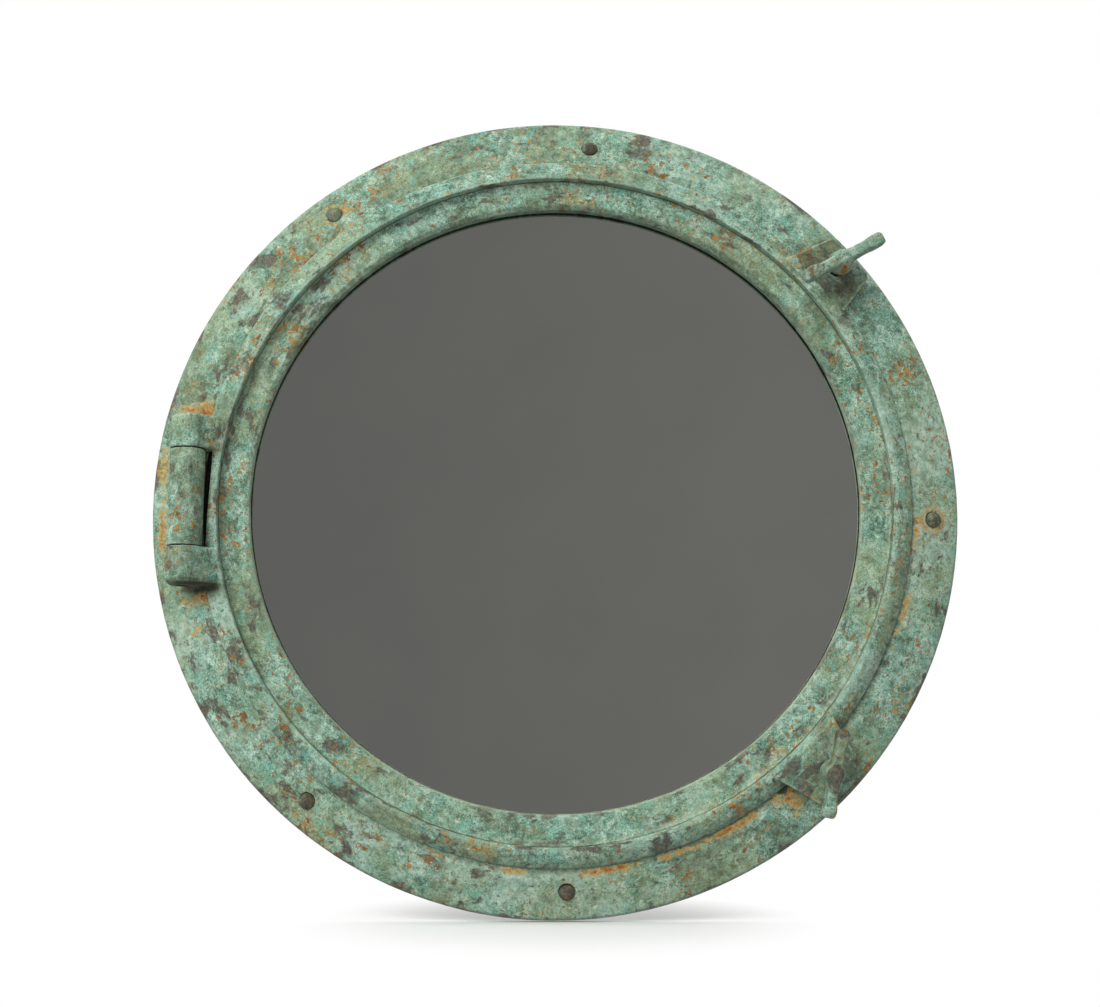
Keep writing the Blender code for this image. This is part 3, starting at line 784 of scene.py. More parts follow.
def wing_outline(half):
    tip = [(half - 5.6 + 5.5 * math.cos(math.radians(a)), 11.4 + 5.5 * math.sin(math.radians(a))) for a in range(-62, 101, 18)]
    return np.array([(0.0, 0.8), (5.0, 0.9), (13.0, 3.5)] + tip + [(17.0, 16.3), (11.0, 15.2), (5.0, 14.6), (0.0, 14.5)])


def nut_field(seed, half):
    wing = wing_outline(half)

    def field(x, y, z):
        w = z - NUT_Z
        rho = np.sqrt(x**2 + y**2)
        hub = outline_distance(rho + 0 * w, w + 0 * rho, HUB)
        ax = np.abs(x)
        # the blade is a soft-edged slab, thickest at the hub and full at its tips
        thick = 3.55 - 0.35 * ease((ax - 6) / 8) + 0.75 * ease((ax - 14) / 8)
        blade = smax(outline_distance(ax + 0 * w, w + 0 * ax, wing), np.abs(y) - thick, 2.6)
        d = smin(hub, blade, 2.2)
        d = np.maximum(d, w - 16.78)
        bore = np.maximum(rho - 4.15, w - 12.4)
        d = smax(d, -bore, 0.4)
        return d - uneven(x * 1.6 + seed, y * 1.6, z * 1.6, 0.12)

    return field


PITCH = 1.25


def bolt_field(x, y, z):
    drum_d = drum(y, x, z, -3.55, 3.55, 4.55, 0.6, 0.6)
    rho = np.sqrt(x**2 + y**2)
    turns = z / PITCH - np.arctan2(y, x) / (2 * np.pi)
    ridge = np.abs(turns - np.round(turns)) * 2
    threaded = ease((z - 7.5) / 1.2)
    shank = np.maximum(rho - (3.86 - 0.42 * ridge * threaded), np.maximum(1.0 - z, z - 23.2))
    shank = smax(shank, rho + z - 23.2 - 3.0, 0.2)
    d = smin(drum_d, shank, 1.2)
    return smax(d, 2.2 - np.sqrt(x**2 + z**2) + 0 * y, 0.2)


def placed(points, angle, spin=0.0, lift=0.0):
    """From a dog's local frame, its nut turned by spin, to the front frame."""
    a, s = math.radians(angle), math.radians(spin)
    x = points[:, 0] * math.cos(s) - points[:, 1] * math.sin(s) + DOG_R
    y = points[:, 0] * math.sin(s) + points[:, 1] * math.cos(s)
    return np.stack([x * math.cos(a) - y * math.sin(a), x * math.sin(a) + y * math.cos(a), points[:, 2] + DOG_D + lift], axis=1)


dog_pieces = {}
bolt_mesh = solid("dog_bolt", (-4.6, -4.0, -4.6), (4.6, 4.0, 23.4), 0.3, bolt_field)
for number, (which, angle, turn) in enumerate(DOGS):
    q, quads, wear, grime = solid("wing_nut_" + which, (-28.6, -8.2, NUT_Z), (28.6, 8.2, NUT_Z + 17.2), 0.42, nut_field(300.0 * number, (28.7, 26.4)[number]))
    # the wings' top edges are rubbed bare by fingers
    top = ease((q[:, 2] - NUT_Z - 9.0) / 4.0)
    if which == "upper":
        bare = top * (0.10 + 0.52 * np.exp(-(((q[:, 0] + 20) / 6) ** 2)) + 0.45 * np.exp(-(((q[:, 0] - 12) / 6) ** 2)) * np.exp(-((q[:, 1] / 1.6) ** 2)))
        stain = 1.3 * np.exp(-((q[:, 0] + 2.2) ** 2 + (q[:, 1] + 6.6) ** 2) / 9.0) * (q[:, 2] > NUT_Z + 2.5) + 0.4 * np.exp(-(((q[:, 2] - NUT_Z) / 2.0) ** 2))
    else:
        bare = top * (0.14 + 0.42 * np.exp(-(((q[:, 0] + 3) / 6) ** 2)) + 0.34 * np.exp(-(((q[:, 0] + 20) / 7) ** 2)))
        stain = 0.8 * np.exp(-(((q[:, 1] + 2.9) / 0.9) ** 2)) * ease((q[:, 2] - NUT_Z - 7) / 4) * ease((6 - q[:, 0]) / 20) + 0.4 * np.exp(
            -(((q[:, 2] - NUT_Z) / 2.0) ** 2)
        )
    dog_pieces["wing_nut_" + which] = make(
        f"wing_nut_{which}.cast",
        placed(q, angle, turn),
        quads,
        {"wear": wear, "grime": grime, "stain": np.clip(stain, 0, 1), "bare": np.clip(bare, 0, 1)},
    )
    q, quads, wear, grime = bolt_mesh
    dog_pieces["dog_bolt_" + which] = make(
        f"dog_bolt_{which}.turned",
        placed(q, angle),
        quads,
        {"wear": wear, "grime": np.clip(grime + 0.3 * ease((16 - q[:, 2]) / 6), 0, 1), "stain": 0.5 * ease((q[:, 2] - 4) / 5)},
    )


def tilted_lathe(name, profile, angle, steps, along="z", spin=0.0):
    """A turned piece in a dog's local frame, about the bolt's or the pin's axis."""
    made = lathe(name, profile, steps, keep_sharp=40)
    mesh = made.data
    co = np.empty(len(mesh.vertices) * 3, np.float32)
    mesh.vertices.foreach_get("co", co)
    co = co.reshape(-1, 3).astype(float) / MM
    q = np.stack([co[:, 0], co[:, 2], -co[:, 1]], axis=1)
    if along == "y":
        q = np.stack([q[:, 0], q[:, 2], -q[:, 1]], axis=1)
    q = placed(q, angle)
    world = np.stack([q[:, 0], -q[:, 2], q[:, 1]], axis=1) * MM
    mesh.vertices.foreach_set("co", world.astype(np.float32).ravel())
    mesh.update()
    return made


for which, angle, _ in DOGS:
    washer = rounded([(4.3, 15.32, 0.15), (7.35, 15.32, 0.3), (7.2, 16.68, 0.45), (4.3, 16.68, 0.25)], 3)
    dog_pieces["dog_washer_" + which] = tilted_lathe(f"dog_washer_{which}.turned", washer, angle, 64)
    pin = [(0, -8.55), (1.5, -8.55), (1.8, -8.4), (1.88, -8.1), (1.88, 8.1), (1.8, 8.4), (1.5, 8.55), (0, 8.55)]
    dog_pieces["dog_pin_" + which] = tilted_lathe(f"dog_pin_{which}.turned", pin, angle, 32, "y")

# ---- screws, pin, gasket ----------------------------------------------------------------------
screw_pieces = {}
for number, (angle, at_r) in enumerate(SCREW_PLACES, 1):
    cx, cy = at_r * math.cos(math.radians(angle)), at_r * math.sin(math.radians(angle))
    under = 13.9
    head = [(0, 3.3), (0.9, 3.27), (1.9, 3.1), (2.9, 2.72), (3.7, 2.2), (4.35, 1.55), (4.75, 0.9), (4.95, 0.35), (4.95, 0.1), (4.85, 0.0)]
    shank = [(2.5, 0.0), (2.4, -0.3)] + [(2.4 if k % 2 else 1.95, -16.5 - 0.55 * k) for k in range(0, 24)] + [(1.7, -30.3), (1.0, -33.0), (0.2, -35.3), (0, -35.5)]
    profile = [(r, z + under) for r, z in head + shank]

    def head_marks(p, cx=cx, cy=cy, number=number):
        away = np.hypot(p[:, 0] - cx, p[:, 1] - cy)
        crown = np.exp(-((away / 3.4) ** 2))
        rubbed = (0.9, 0.0, 0.6, 0.75, 0.25)[number - 1]
        return {
            "bare": rubbed * (0.25 + 0.75 * crown),
            "grime": 0.35 * np.exp(-(((away - 5.0) / 0.6) ** 2)),
            "stain": 0.10 + 0 * away,
            "shade": 0.18 + 0 * away,
        }

    screw_pieces[f"mounting_screw_{number}"] = lathe(f"mounting_screw_{number}.turned", profile, 56, (cx, cy), wobble=0.10, attributes=head_marks, keep_sharp=60)

for number in range(1, 7):
    a = math.radians(60.0 * (number - 1) + 10.0)
    cx, cy = 207.2 * math.cos(a), 207.2 * math.sin(a)
    profile = [
        (0, 5.0), (1.7, 5.02), (2.3, 5.3), (2.75, 5.8), (2.9, 6.4), (2.9, 7.0), (2.8, 7.1), (1.8, 7.1),
    ] + [(1.75 if k % 2 else 1.4, 7.5 + 0.35 * k) for k in range(0, 22)] + [(1.2, 15.4), (0, 15.45)]
    screw_pieces[f"glazing_screw_{number}"] = lathe(f"glazing_screw_{number}.turned", profile, 32, (cx, cy), keep_sharp=60)


def hinge_rod(name, profile, steps):
    """A turned piece about the hinge axis; the profile's second number runs up the axis."""
    made = lathe(name, profile, steps, keep_sharp=45)
    mesh = made.data
    co = np.empty(len(mesh.vertices) * 3, np.float32)
    mesh.vertices.foreach_get("co", co)
    co = co.reshape(-1, 3).astype(float) / MM
    # lathe gives (x, -along, y): turn it so that the axis stands up at the hinge
    world = np.stack([co[:, 0] + HINGE_X, co[:, 2] - HINGE_D, -co[:, 1]], axis=1) * MM
    mesh.vertices.foreach_set("co", world.astype(np.float32).ravel())
    mesh.update()
    return made


pin_piece = hinge_rod(
    "hinge_pin.turned",
    [(0, -48.0), (3.2, -48.0), (3.8, -47.7), (4.0, -47.1), (4.0, 52.6), (3.85, 53.1), (3.3, 53.45), (1.8, 53.6), (0, 53.6)],
    48,
)
gasket_piece = lathe(
    "door_gasket.moulded",
    [tuple(q) for q in rounded([(216.55, 15.3, 0.3), (216.55, 17.62, 0.9), (219.05, 17.62, 0.9), (219.05, 15.3, 0.3)], 4)],
    360,
    keep_sharp=60,
)
bedding_pieces = {
    "bedding_front": lathe("bedding_front.moulded", [tuple(q) for q in rounded([(198.8, 11.1, 0.2), (198.8, 12.5, 0.3), (191.7, 12.5, 0.5), (191.7, 11.1, 0.3)], 3)], 240),
    "bedding_rear": lathe("bedding_rear.moulded", [tuple(q) for q in rounded([(198.8, 4.1, 0.1), (198.8, 4.9, 0.1), (191.7, 4.9, 0.3), (191.7, 4.1, 0.3)], 3)], 240),
}
glass_piece = lathe(
    "mirror_glass.ground",
    [(0, 10.8), (60, 10.8), (130, 10.8), (186, 10.8), (197.9, 10.8), (198.6, 10.5), (198.8, 10.0), (198.8, 7.4), (198.3, 6.8), (190, 6.8), (0, 6.8)],
    240,
    keep_sharp=20,
)
backing_piece = lathe(
    "mirror_backing.cut",
    [(0, 6.5), (100, 6.5), (198.6, 6.5), (198.8, 6.3), (198.8, 5.4), (198.6, 5.2), (100, 5.2), (0, 5.2)],
    240,
    keep_sharp=20,
)


# ---- materials ---------------------------------------------------------------------------------
def linear(r, g, b):
    def one(c):
        c /= 255.0
        return c / 12.92 if c <= 0.04045 else ((c + 0.055) / 1.055) ** 2.4

    return (one(r), one(g), one(b), 1.0)


class Tree:
    """Short names for the shader nodes used below."""

    def __init__(self, name):
        self.material = bpy.data.materials.new(name)
        self.material.use_nodes = True
        self.nodes = self.material.node_tree.nodes
        self.links = self.material.node_tree.links
        self.shader = self.nodes["Principled BSDF"]
        self.at = self.nodes.new("ShaderNodeTexCoord").outputs["Object"]

    def put(self, socket, value):
        if isinstance(value, bpy.types.NodeSocket):
            self.links.new(value, socket)
        else:
            socket.default_value = value

    def math(self, op, a, b=0.0, clamp=False):
        n = self.nodes.new("ShaderNodeMath")
        n.operation, n.use_clamp = op, clamp
        self.put(n.inputs[0], a)
        self.put(n.inputs[1], b)
        return n.outputs[0]

    def vector(self, op, a, b=None):
        n = self.nodes.new("ShaderNodeVectorMath")
        n.operation = op
        self.put(n.inputs[0], a)
        if b is not None:
            self.put(n.inputs["Scale"] if op == "SCALE" else n.inputs[1], b)
        return n.outputs["Value"] if op == "LENGTH" else n.outputs["Vector"]

    def noise(self, at, scale, detail=3.0, rough=0.55, warp=0.0, colour=False):
        n = self.nodes.new("ShaderNodeTexNoise")
        self.put(n.inputs["Vector"], at)
        n.inputs["Scale"].default_value = scale
        n.inputs["Detail"].default_value = detail
        n.inputs["Roughness"].default_value = rough
        n.inputs["Distortion"].default_value = warp
        return n.outputs["Color" if colour else "Fac"]

    def cells(self, at, scale, randomness=1.0):
        n = self.nodes.new("ShaderNodeTexVoronoi")
        self.put(n.inputs["Vector"], at)
        n.inputs["Scale"].default_value = scale
        n.inputs["Randomness"].default_value = randomness
        return n.outputs["Distance"], n.outputs["Color"]

    def step(self, value, low, high):
        """0 below low, 1 above high, eased between; the two may be swapped."""
        n = self.nodes.new("ShaderNodeMapRange")
        n.interpolation_type = "SMOOTHSTEP"
        self.put(n.inputs["Value"], value)
        swap = not isinstance(low, bpy.types.NodeSocket) and not isinstance(high, bpy.types.NodeSocket) and low > high
        self.put(n.inputs["From Min"], high if swap else low)
        self.put(n.inputs["From Max"], low if swap else high)
        n.inputs["To Min"].default_value = 1.0 if swap else 0.0
        n.inputs["To Max"].default_value = 0.0 if swap else 1.0
        return n.outputs["Result"]

    def ramp(self, value, stops):
        n = self.nodes.new("ShaderNodeValToRGB")
        self.put(n.inputs[0], value)
        while len(n.color_ramp.elements) < len(stops):
            n.color_ramp.elements.new(0.5)
        for e, (at, colour) in zip(n.color_ramp.elements, stops):
            e.position, e.color = at, colour
        return n.outputs["Color"]

    def mix(self, factor, a, b, how="MIX"):
        n = self.nodes.new("ShaderNodeMix")
        n.data_type, n.blend_type, n.clamp_factor = "RGBA", how, True
        self.put(n.inputs[0], factor)
        self.put(n.inputs[6], a)
        self.put(n.inputs[7], b)
        return n.outputs[2]

    def mark(self, name):
        n = self.nodes.new("ShaderNodeAttribute")
        n.attribute_name = name
        return n.outputs["Fac"]

    def shift(self, at, x, y, z):
        return self.vector("ADD", at, (x, y, z))

    def bump(self, height, strength, distance, below=None):
        n = self.nodes.new("ShaderNodeBump")
        n.inputs["Strength"].default_value = strength
        n.inputs["Distance"].default_value = distance
        self.put(n.inputs["Height"], height)
        if below is not None:
            self.put(n.inputs["Normal"], below)
        return n.outputs["Normal"]


def round_the_ring(t, across):
    """Coordinates that run round the ring, stretched across it, so that marks lie along it."""
    sep = t.nodes.new("ShaderNodeSeparateXYZ")
    t.put(sep.inputs[0], t.at)
    flat = t.nodes.new("ShaderNodeCombineXYZ")
    t.put(flat.inputs[0], sep.outputs[0])
    t.put(flat.inputs[2], sep.outputs[2])
    radius = t.vector("LENGTH", flat.outputs[0])
    unit = t.vector("SCALE", t.vector("NORMALIZE", flat.outputs[0]), 0.23)
    inner = t.math("MULTIPLY", t.math("SUBTRACT", radius, sep.outputs[1]), across)
    up = t.nodes.new("ShaderNodeCombineXYZ")
    t.put(up.inputs[1], inner)
    return t.vector("ADD", unit, up.outputs[0])


def patina(name, seed, ring=True, tone=1.0, bare_at=0.565, rust=1.0, brown=0.0, teal=0.55, scale=1.0):
    """Verdigris over old bronze: mottled greens, teal bloom, bare brown patches, rust specks, and dirt and painted
    shade in the corners.
    """
    t = Tree(name)
    at = t.shift(t.at, 0.37 * seed, 0.11 * seed, 0.53 * seed)
    warp = t.noise(at, 210 * scale, 2.0, 0.6, colour=True)
    wavy = t.vector("ADD", at, t.vector("SCALE", t.vector("SUBTRACT", warp, (0.5, 0.5, 0.5)), 0.006 / scale))
    along = t.shift(round_the_ring(t, 2.2) if ring else t.at, 0.19 * seed, 0.71 * seed, 0.23 * seed)

    broad = t.noise(at, 22 * scale, 3.0, 0.55)
    patch = t.noise(wavy, 75 * scale, 4.0, 0.62)
    mottle = t.noise(wavy, 250 * scale, 4.0, 0.70)
    grain = t.noise(at, 1150 * scale, 3.0, 0.75)
    # greens, from the dark skin under the bloom to the chalky crust over it
    body = t.math("ADD", t.math("MULTIPLY", mottle, 0.58), t.math("MULTIPLY", patch, 0.50))
    body = t.math("SUBTRACT", body, 0.04)
    body = t.math("ADD", body, t.math("MULTIPLY", t.math("SUBTRACT", grain, 0.5), 0.58))
    colour = t.ramp(
        body,
        [
            (0.35, linear(56, 82, 66)),
            (0.43, linear(91, 127, 105)),
            (0.50, linear(124, 161, 140)),
            (0.57, linear(154, 189, 170)),
            (0.66, linear(196, 217, 199)),
        ],
    )
    # broad drift between a bluer and a yellower green
    colour = t.mix(t.step(broad, 0.42, 0.62), colour, t.mix(0.5, colour, linear(150, 160, 116)))
    bloom = t.math("MULTIPLY", t.step(t.noise(t.shift(wavy, 0.4, 0.2, 0.9), 95 * scale, 3.0, 0.6), 0.53, 0.66), teal)
    colour = t.mix(bloom, colour, t.ramp(grain, [(0.35, linear(70, 140, 124)), (0.65, linear(128, 190, 172))]))
    olive = t.step(t.noise(t.shift(wavy, 1.4, 0.7, 0.1), 110 * scale, 5.0, 0.68), 0.54, 0.66)
    colour = t.mix(t.math("MULTIPLY", olive, 0.65), colour, linear(98, 106, 72))
    # fine powdery grains, some brown, some blue-green
    powder = t.noise(t.shift(at, 5.2, 3.3, 1.8), 820 * scale, 2.0, 0.6)
    colour = t.mix(t.math("MULTIPLY", t.step(powder, 0.46, 0.36), 0.62), colour, linear(100, 92, 70))
    colour = t.mix(t.math("MULTIPLY", t.step(powder, 0.55, 0.64), 0.40), colour, linear(108, 182, 170))
    cream = t.step(t.noise(t.shift(at, 2.1, 0.3, 0.6), 310 * scale, 3.0, 0.7), 0.60, 0.70)
    colour = t.mix(t.math("MULTIPLY", cream, 0.65), colour, linear(206, 212, 178))

    # slow changes: chalky where rain dries, brown where the crust is thin
    slow = t.noise(t.shift(at, 3.1, 1.2, 2.2), 19.0, 4.0, 0.66)
    colour = t.mix(t.math("MULTIPLY", t.step(slow, 0.52, 0.66), 0.55), colour, t.ramp(mottle, [(0.38, linear(132, 162, 144)), (0.6, linear(186, 208, 190))]))
    colour = t.mix(t.math("MULTIPLY", t.step(slow, 0.47, 0.34), 0.60), colour, t.ramp(mottle, [(0.38, linear(78, 90, 68)), (0.6, linear(120, 136, 108))]))

    # bare metal: ragged patches that lie along the ring, more of them on exposed edges
    wear, bare_here = t.mark("wear"), t.mark("bare")
    lie = t.math("ADD", t.math("MULTIPLY", t.noise(along, 50 * scale, 5.0, 0.68), 0.8), t.math("MULTIPLY", t.noise(t.shift(at, 0.5, 1.5, 0.2), 14.0, 2.0, 0.5), 0.2))
    # the wear-and-highlight mark lightens the green: worn convex edges, and a painted highlight where it is raised on
    # the door's inner rim wall and the glazing lip
    colour = t.mix(t.math("MULTIPLY", wear, 0.45), colour, t.ramp(grain, [(0.35, linear(140, 172, 150)), (0.65, linear(188, 208, 188))]))
    lift = t.math("ADD", t.math("MULTIPLY", wear, 0.02), t.math("MULTIPLY", bare_here, 0.20))
    lie = t.math("ADD", t.math("ADD", lie, lift), t.math("MULTIPLY", t.math("SUBTRACT", grain, 0.5), 0.16))
    bare = t.step(lie, bare_at, bare_at + 0.045)
    flecks = t.step(t.math("ADD", t.noise(t.shift(along, 0.9, 0.4, 0.3), 300 * scale, 3.0, 0.6), t.math("MULTIPLY", lift, 0.3)), 0.625, 0.665)
    bare = t.math("MAXIMUM", bare, t.math("MULTIPLY", flecks, 0.8))
    metal = t.ramp(
        t.noise(at, 420 * scale, 3.0, 0.7),
        [(0.34, linear(66, 62, 56)), (0.50, linear(96, 92, 84)), (0.62, linear(126, 114, 100)), (0.72, linear(120, 138, 120))],
    )
    colour = t.mix(t.math("MULTIPLY", bare, 0.88), colour, metal)
    if brown:
        colour = t.mix(brown, colour, t.ramp(t.noise(wavy, 160 * scale, 4.0, 0.7), [(0.36, linear(58, 50, 40)), (0.5, linear(98, 78, 58)), (0.66, linear(112, 122, 98))]))

    # rust and ochre flecks: ragged, a millimetre or three long, gathered in loose crowds
    crowd = t.math("MULTIPLY", t.math("SUBTRACT", t.noise(t.shift(at, 0.3, 0.8, 0.1), 30 * scale, 2.0, 0.5), 0.5), 0.42)
    specks = None
    for size, bar, shift, hue in ((205, 0.636, 0.0, -0.02), (360, 0.628, 0.7, 0.05), (105, 0.69, 1.9, -0.08)):
        ragged = t.math("ADD", t.noise(t.shift(wavy, shift, shift * 0.3, shift * 0.6), size * scale, 4.0, 0.6, 0.4), crowd)
        spot = t.math("MULTIPLY", t.step(ragged, bar, bar + 0.022), 0.95 * rust)
        deep = t.step(ragged, bar + 0.012, bar + 0.06)
        pick = t.math("ADD", t.noise(t.shift(at, shift + 1.1, 0.6, 0.9), 90 * scale, 2.0, 0.5), hue)
        edge = t.ramp(pick, [(0.36, linear(138, 120, 78)), (0.52, linear(158, 132, 80)), (0.66, linear(176, 156, 98))])
        core = t.ramp(pick, [(0.36, linear(112, 76, 42)), (0.50, linear(142, 96, 48)), (0.66, linear(170, 128, 64))])
        colour = t.mix(spot, colour, t.mix(deep, edge, core))
        specks = spot if specks is None else t.math("MAXIMUM", specks, spot)

    # painted shade and dirt: the shade mark paints shade on walls, undersides and the lower side of joints, and gives
    # the lug tops a darker tone; the grime-and-shade mark darkens where pieces meet, as dirt and as shade together
    grime = t.mark("grime")
    dirt_and_shade = t.math("ADD", grime, t.math("MULTIPLY", t.math("SUBTRACT", mottle, 0.5), 0.7))
    shaded = t.math("ADD", t.mark("shade"), t.math("MULTIPLY", t.math("SUBTRACT", patch, 0.5), 0.9))
    colour = t.mix(t.math("MULTIPLY", t.step(shaded, 0.15, 0.95), 0.62), colour, t.ramp(mottle, [(0.36, linear(62, 76, 60)), (0.52, linear(86, 100, 80)), (0.66, linear(112, 124, 98))]))
    colour = t.mix(t.math("MULTIPLY", t.step(dirt_and_shade, 0.42, 1.0), 0.55), colour, linear(84, 84, 58))
    colour = t.mix(t.math("MULTIPLY", t.step(dirt_and_shade, 0.80, 1.20), 0.75), colour, linear(42, 40, 31))
    # stains by the joints: mustard and ochre with rust and dark brown in their middle, green showing through
    stain = t.mark("stain")
    cloud = t.math("SUBTRACT", t.noise(wavy, 190 * scale, 4.0, 0.7), 0.5)
    fleck = t.noise(t.shift(at, 0.8, 2.6, 0.4), 420 * scale, 4.0, 0.7)
    soak = t.math("ADD", stain, t.math("ADD", t.math("MULTIPLY", cloud, 1.9), t.math("MULTIPLY", t.math("SUBTRACT", fleck, 0.5), 1.2)))
    shown = t.math("MULTIPLY", t.step(soak, 0.40, 0.80), t.step(stain, 0.03, 0.35))
    colour = t.mix(t.math("MULTIPLY", shown, 0.85), colour, t.ramp(fleck, [(0.36, linear(146, 120, 66)), (0.5, linear(178, 146, 82)), (0.64, linear(196, 172, 112))]))
    colour = t.mix(t.math("MULTIPLY", t.step(soak, 0.86, 1.12), t.step(stain, 0.05, 0.45)), colour, t.ramp(fleck, [(0.4, linear(112, 62, 32)), (0.56, linear(164, 92, 42))]))
    # the pale mark lightens: a painted highlight on the glazing lip's lower half, rubbed wear with a painted highlight
    # on the lug edges, and the pale band at the rim's foot
    colour = t.mix(t.math("MULTIPLY", t.mark("pale"), 0.75), colour, t.ramp(grain, [(0.36, linear(158, 172, 146)), (0.62, linear(204, 212, 182))]))
    if tone != 1.0:
        colour = t.mix(1.0, colour, (tone, tone, tone, 1.0), "MULTIPLY")
    t.put(t.shader.inputs["Base Color"], colour)

    rough = t.ramp(bare, [(0.0, (0.82, 0.82, 0.82, 1)), (1.0, (0.55, 0.55, 0.55, 1))])
    rough = t.mix(t.math("MULTIPLY", t.step(grain, 0.35, 0.7), 0.25), rough, (0.65, 0.65, 0.65, 1))
    t.put(t.shader.inputs["Roughness"], rough)
    t.shader.inputs["Specular IOR Level"].default_value = 0.35
    t.put(t.shader.inputs["Metallic"], t.math("MULTIPLY", bare, 0.22))

    crust = t.math("SUBTRACT", t.math("ADD", t.math("MULTIPLY", mottle, 0.8), t.math("MULTIPLY", patch, 0.6)), t.math("MULTIPLY", bare, 0.22))
    crust = t.math("ADD", crust, t.math("MULTIPLY", specks, 0.15))
    first = t.bump(crust, 0.55, 0.0012)
    t.put(t.shader.inputs["Normal"], t.bump(grain, 0.35, 0.0003, first))
    return t.material


frame_finish = patina("patina_frame", 1.0)
door_finish = patina("patina_door", 2.0)
glazing_finish = patina("patina_glazing", 3.0, bare_at=0.56)
nut_finish = patina("patina_nut", 4.0, ring=False, bare_at=0.56, rust=0.7, tone=0.92, scale=1.3)
bolt_finish = patina("patina_bolt", 5.0, ring=False, bare_at=0.50, rust=0.9, tone=0.7, brown=0.45, scale=1.3)
washer_finish = patina("patina_washer", 6.0, ring=False, bare_at=0.50, rust=0.9, tone=0.62, brown=0.6, scale=1.3)
screw_finish = patina("patina_screw", 7.0, ring=False, bare_at=0.52, rust=0.6, tone=0.86, brown=0.45, scale=1.5)


def brass(name, seed, base, dark):
    """Worn brass that keeps its colour where it turns, and dulls where it doesn't."""
    t = Tree(name)
    at = t.shift(t.at, seed, seed * 0.4, seed * 0.7)
    cloud = t.noise(at, 160, 4.0, 0.65)
    fine = t.noise(at, 1300, 3.0, 0.7)
    value = t.math("ADD", t.math("MULTIPLY", cloud, 0.7), t.math("MULTIPLY", fine, 0.3))
    t.put(t.shader.inputs["Base Color"], t.ramp(value, [(0.38, dark), (0.52, base), (0.66, tuple(min(1.0, c * 1.25) for c in base[:3]) + (1.0,))]))
    t.put(t.shader.inputs["Roughness"], t.ramp(value, [(0.35, (0.62, 0.62, 0.62, 1)), (0.65, (0.34, 0.34, 0.34, 1))]))
    t.put(t.shader.inputs["Metallic"], t.step(value, 0.36, 0.5))
    t.put(t.shader.inputs["Normal"], t.bump(fine, 0.25, 0.0002))
    return t.material


pin_finish = brass("brass_pin", 0.3, linear(150, 122, 78), linear(78, 72, 52))
rear_screw_finish = brass("brass_rear_screw", 0.9, linear(158, 132, 82), linear(84, 80, 56))


def rubber(name, colour_a, colour_b, rough, seed):
    t = Tree(name)
    at = t.shift(t.at, seed, 0.2, seed)
    cloud = t.noise(at, 130, 4.0, 0.6)
    fine = t.noise(at, 1500, 2.0, 0.6)
    t.put(t.shader.inputs["Base Color"], t.ramp(t.math("ADD", t.math("MULTIPLY", cloud, 0.7), t.math("MULTIPLY", fine, 0.3)), [(0.4, colour_a), (0.62, colour_b)]))
    t.put(t.shader.inputs["Roughness"], t.ramp(cloud, [(0.3, (rough, rough, rough, 1)), (0.7, (rough + 0.12, rough + 0.12, rough + 0.12, 1))]))
    t.put(t.shader.inputs["Normal"], t.bump(fine, 0.3, 0.0002))
    return t.material


rubber_finish = rubber("rubber_seal", linear(26, 26, 25), linear(44, 44, 41), 0.7, 0.5)
putty_finish = rubber("putty_bed", linear(104, 102, 92), linear(142, 138, 124), 0.82, 1.5)
board_finish = rubber("backing_sheet", linear(96, 84, 70), linear(126, 110, 90), 0.78, 2.5)


def mirror_finish():
    """Silvered glass: a clean mirror with a few grains of dust on it."""
    t = Tree("mirror_silvered")
    t.shader.inputs["Metallic"].default_value = 1.0
    distance, shade = t.cells(t.at, 85.0)
    split = t.nodes.new("ShaderNodeSeparateColor")
    t.put(split.inputs[0], shade)
    size = t.math("MULTIPLY", t.math("SUBTRACT", split.outputs[0], 0.55, clamp=True), 0.075)
    dust = t.step(t.math("SUBTRACT", size, distance), 0.0, 0.01)
    film = t.noise(t.at, 14.0, 3.0, 0.5)
    clean = t.ramp(film, [(0.3, linear(226, 228, 226)), (0.7, linear(231, 233, 230))])
    t.put(t.shader.inputs["Base Color"], t.mix(t.math("MULTIPLY", dust, 0.5), clean, linear(150, 150, 146)))
    t.put(t.shader.inputs["Roughness"], t.math("ADD", t.math("MULTIPLY", dust, 0.35), t.ramp(film, [(0.3, (0.012, 0.012, 0.012, 1)), (0.7, (0.03, 0.03, 0.03, 1))])))
    return t.material


silver = mirror_finish()


def finish(obj, material):
    obj.data.materials.clear()
    obj.data.materials.append(material)


# ---- what each piece stands for and rides on ----------------------------------------------------
def settle_piece(obj, node, body, material):
    finish(obj, material)
    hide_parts(node)
    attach(obj, body)


settle_piece(frame_piece, "frame_ring", "frame", frame_finish)
settle_piece(door_piece, "door_ring", "door", door_finish)
settle_piece(glazing_piece, "glazing_ring", "door", glazing_finish)
settle_piece(pin_piece, "hinge_pin", "frame", pin_finish)
settle_piece(gasket_piece, "door_gasket", "frame", rubber_finish)
settle_piece(glass_piece, "mirror_glass", "door", silver)
settle_piece(backing_piece, "mirror_backing", "door", board_finish)
settle_piece(bedding_pieces["bedding_front"], "bedding_front", "door", rubber_finish)
settle_piece(bedding_pieces["bedding_rear"], "bedding_rear", "door", putty_finish)
for number in range(1, 6):
    settle_piece(screw_pieces[f"mounting_screw_{number}"], f"mounting_screw_{number}", "frame", screw_finish)
for number in range(1, 7):
    settle_piece(screw_pieces[f"glazing_screw_{number}"], f"glazing_screw_{number}", "door", rear_screw_finish)
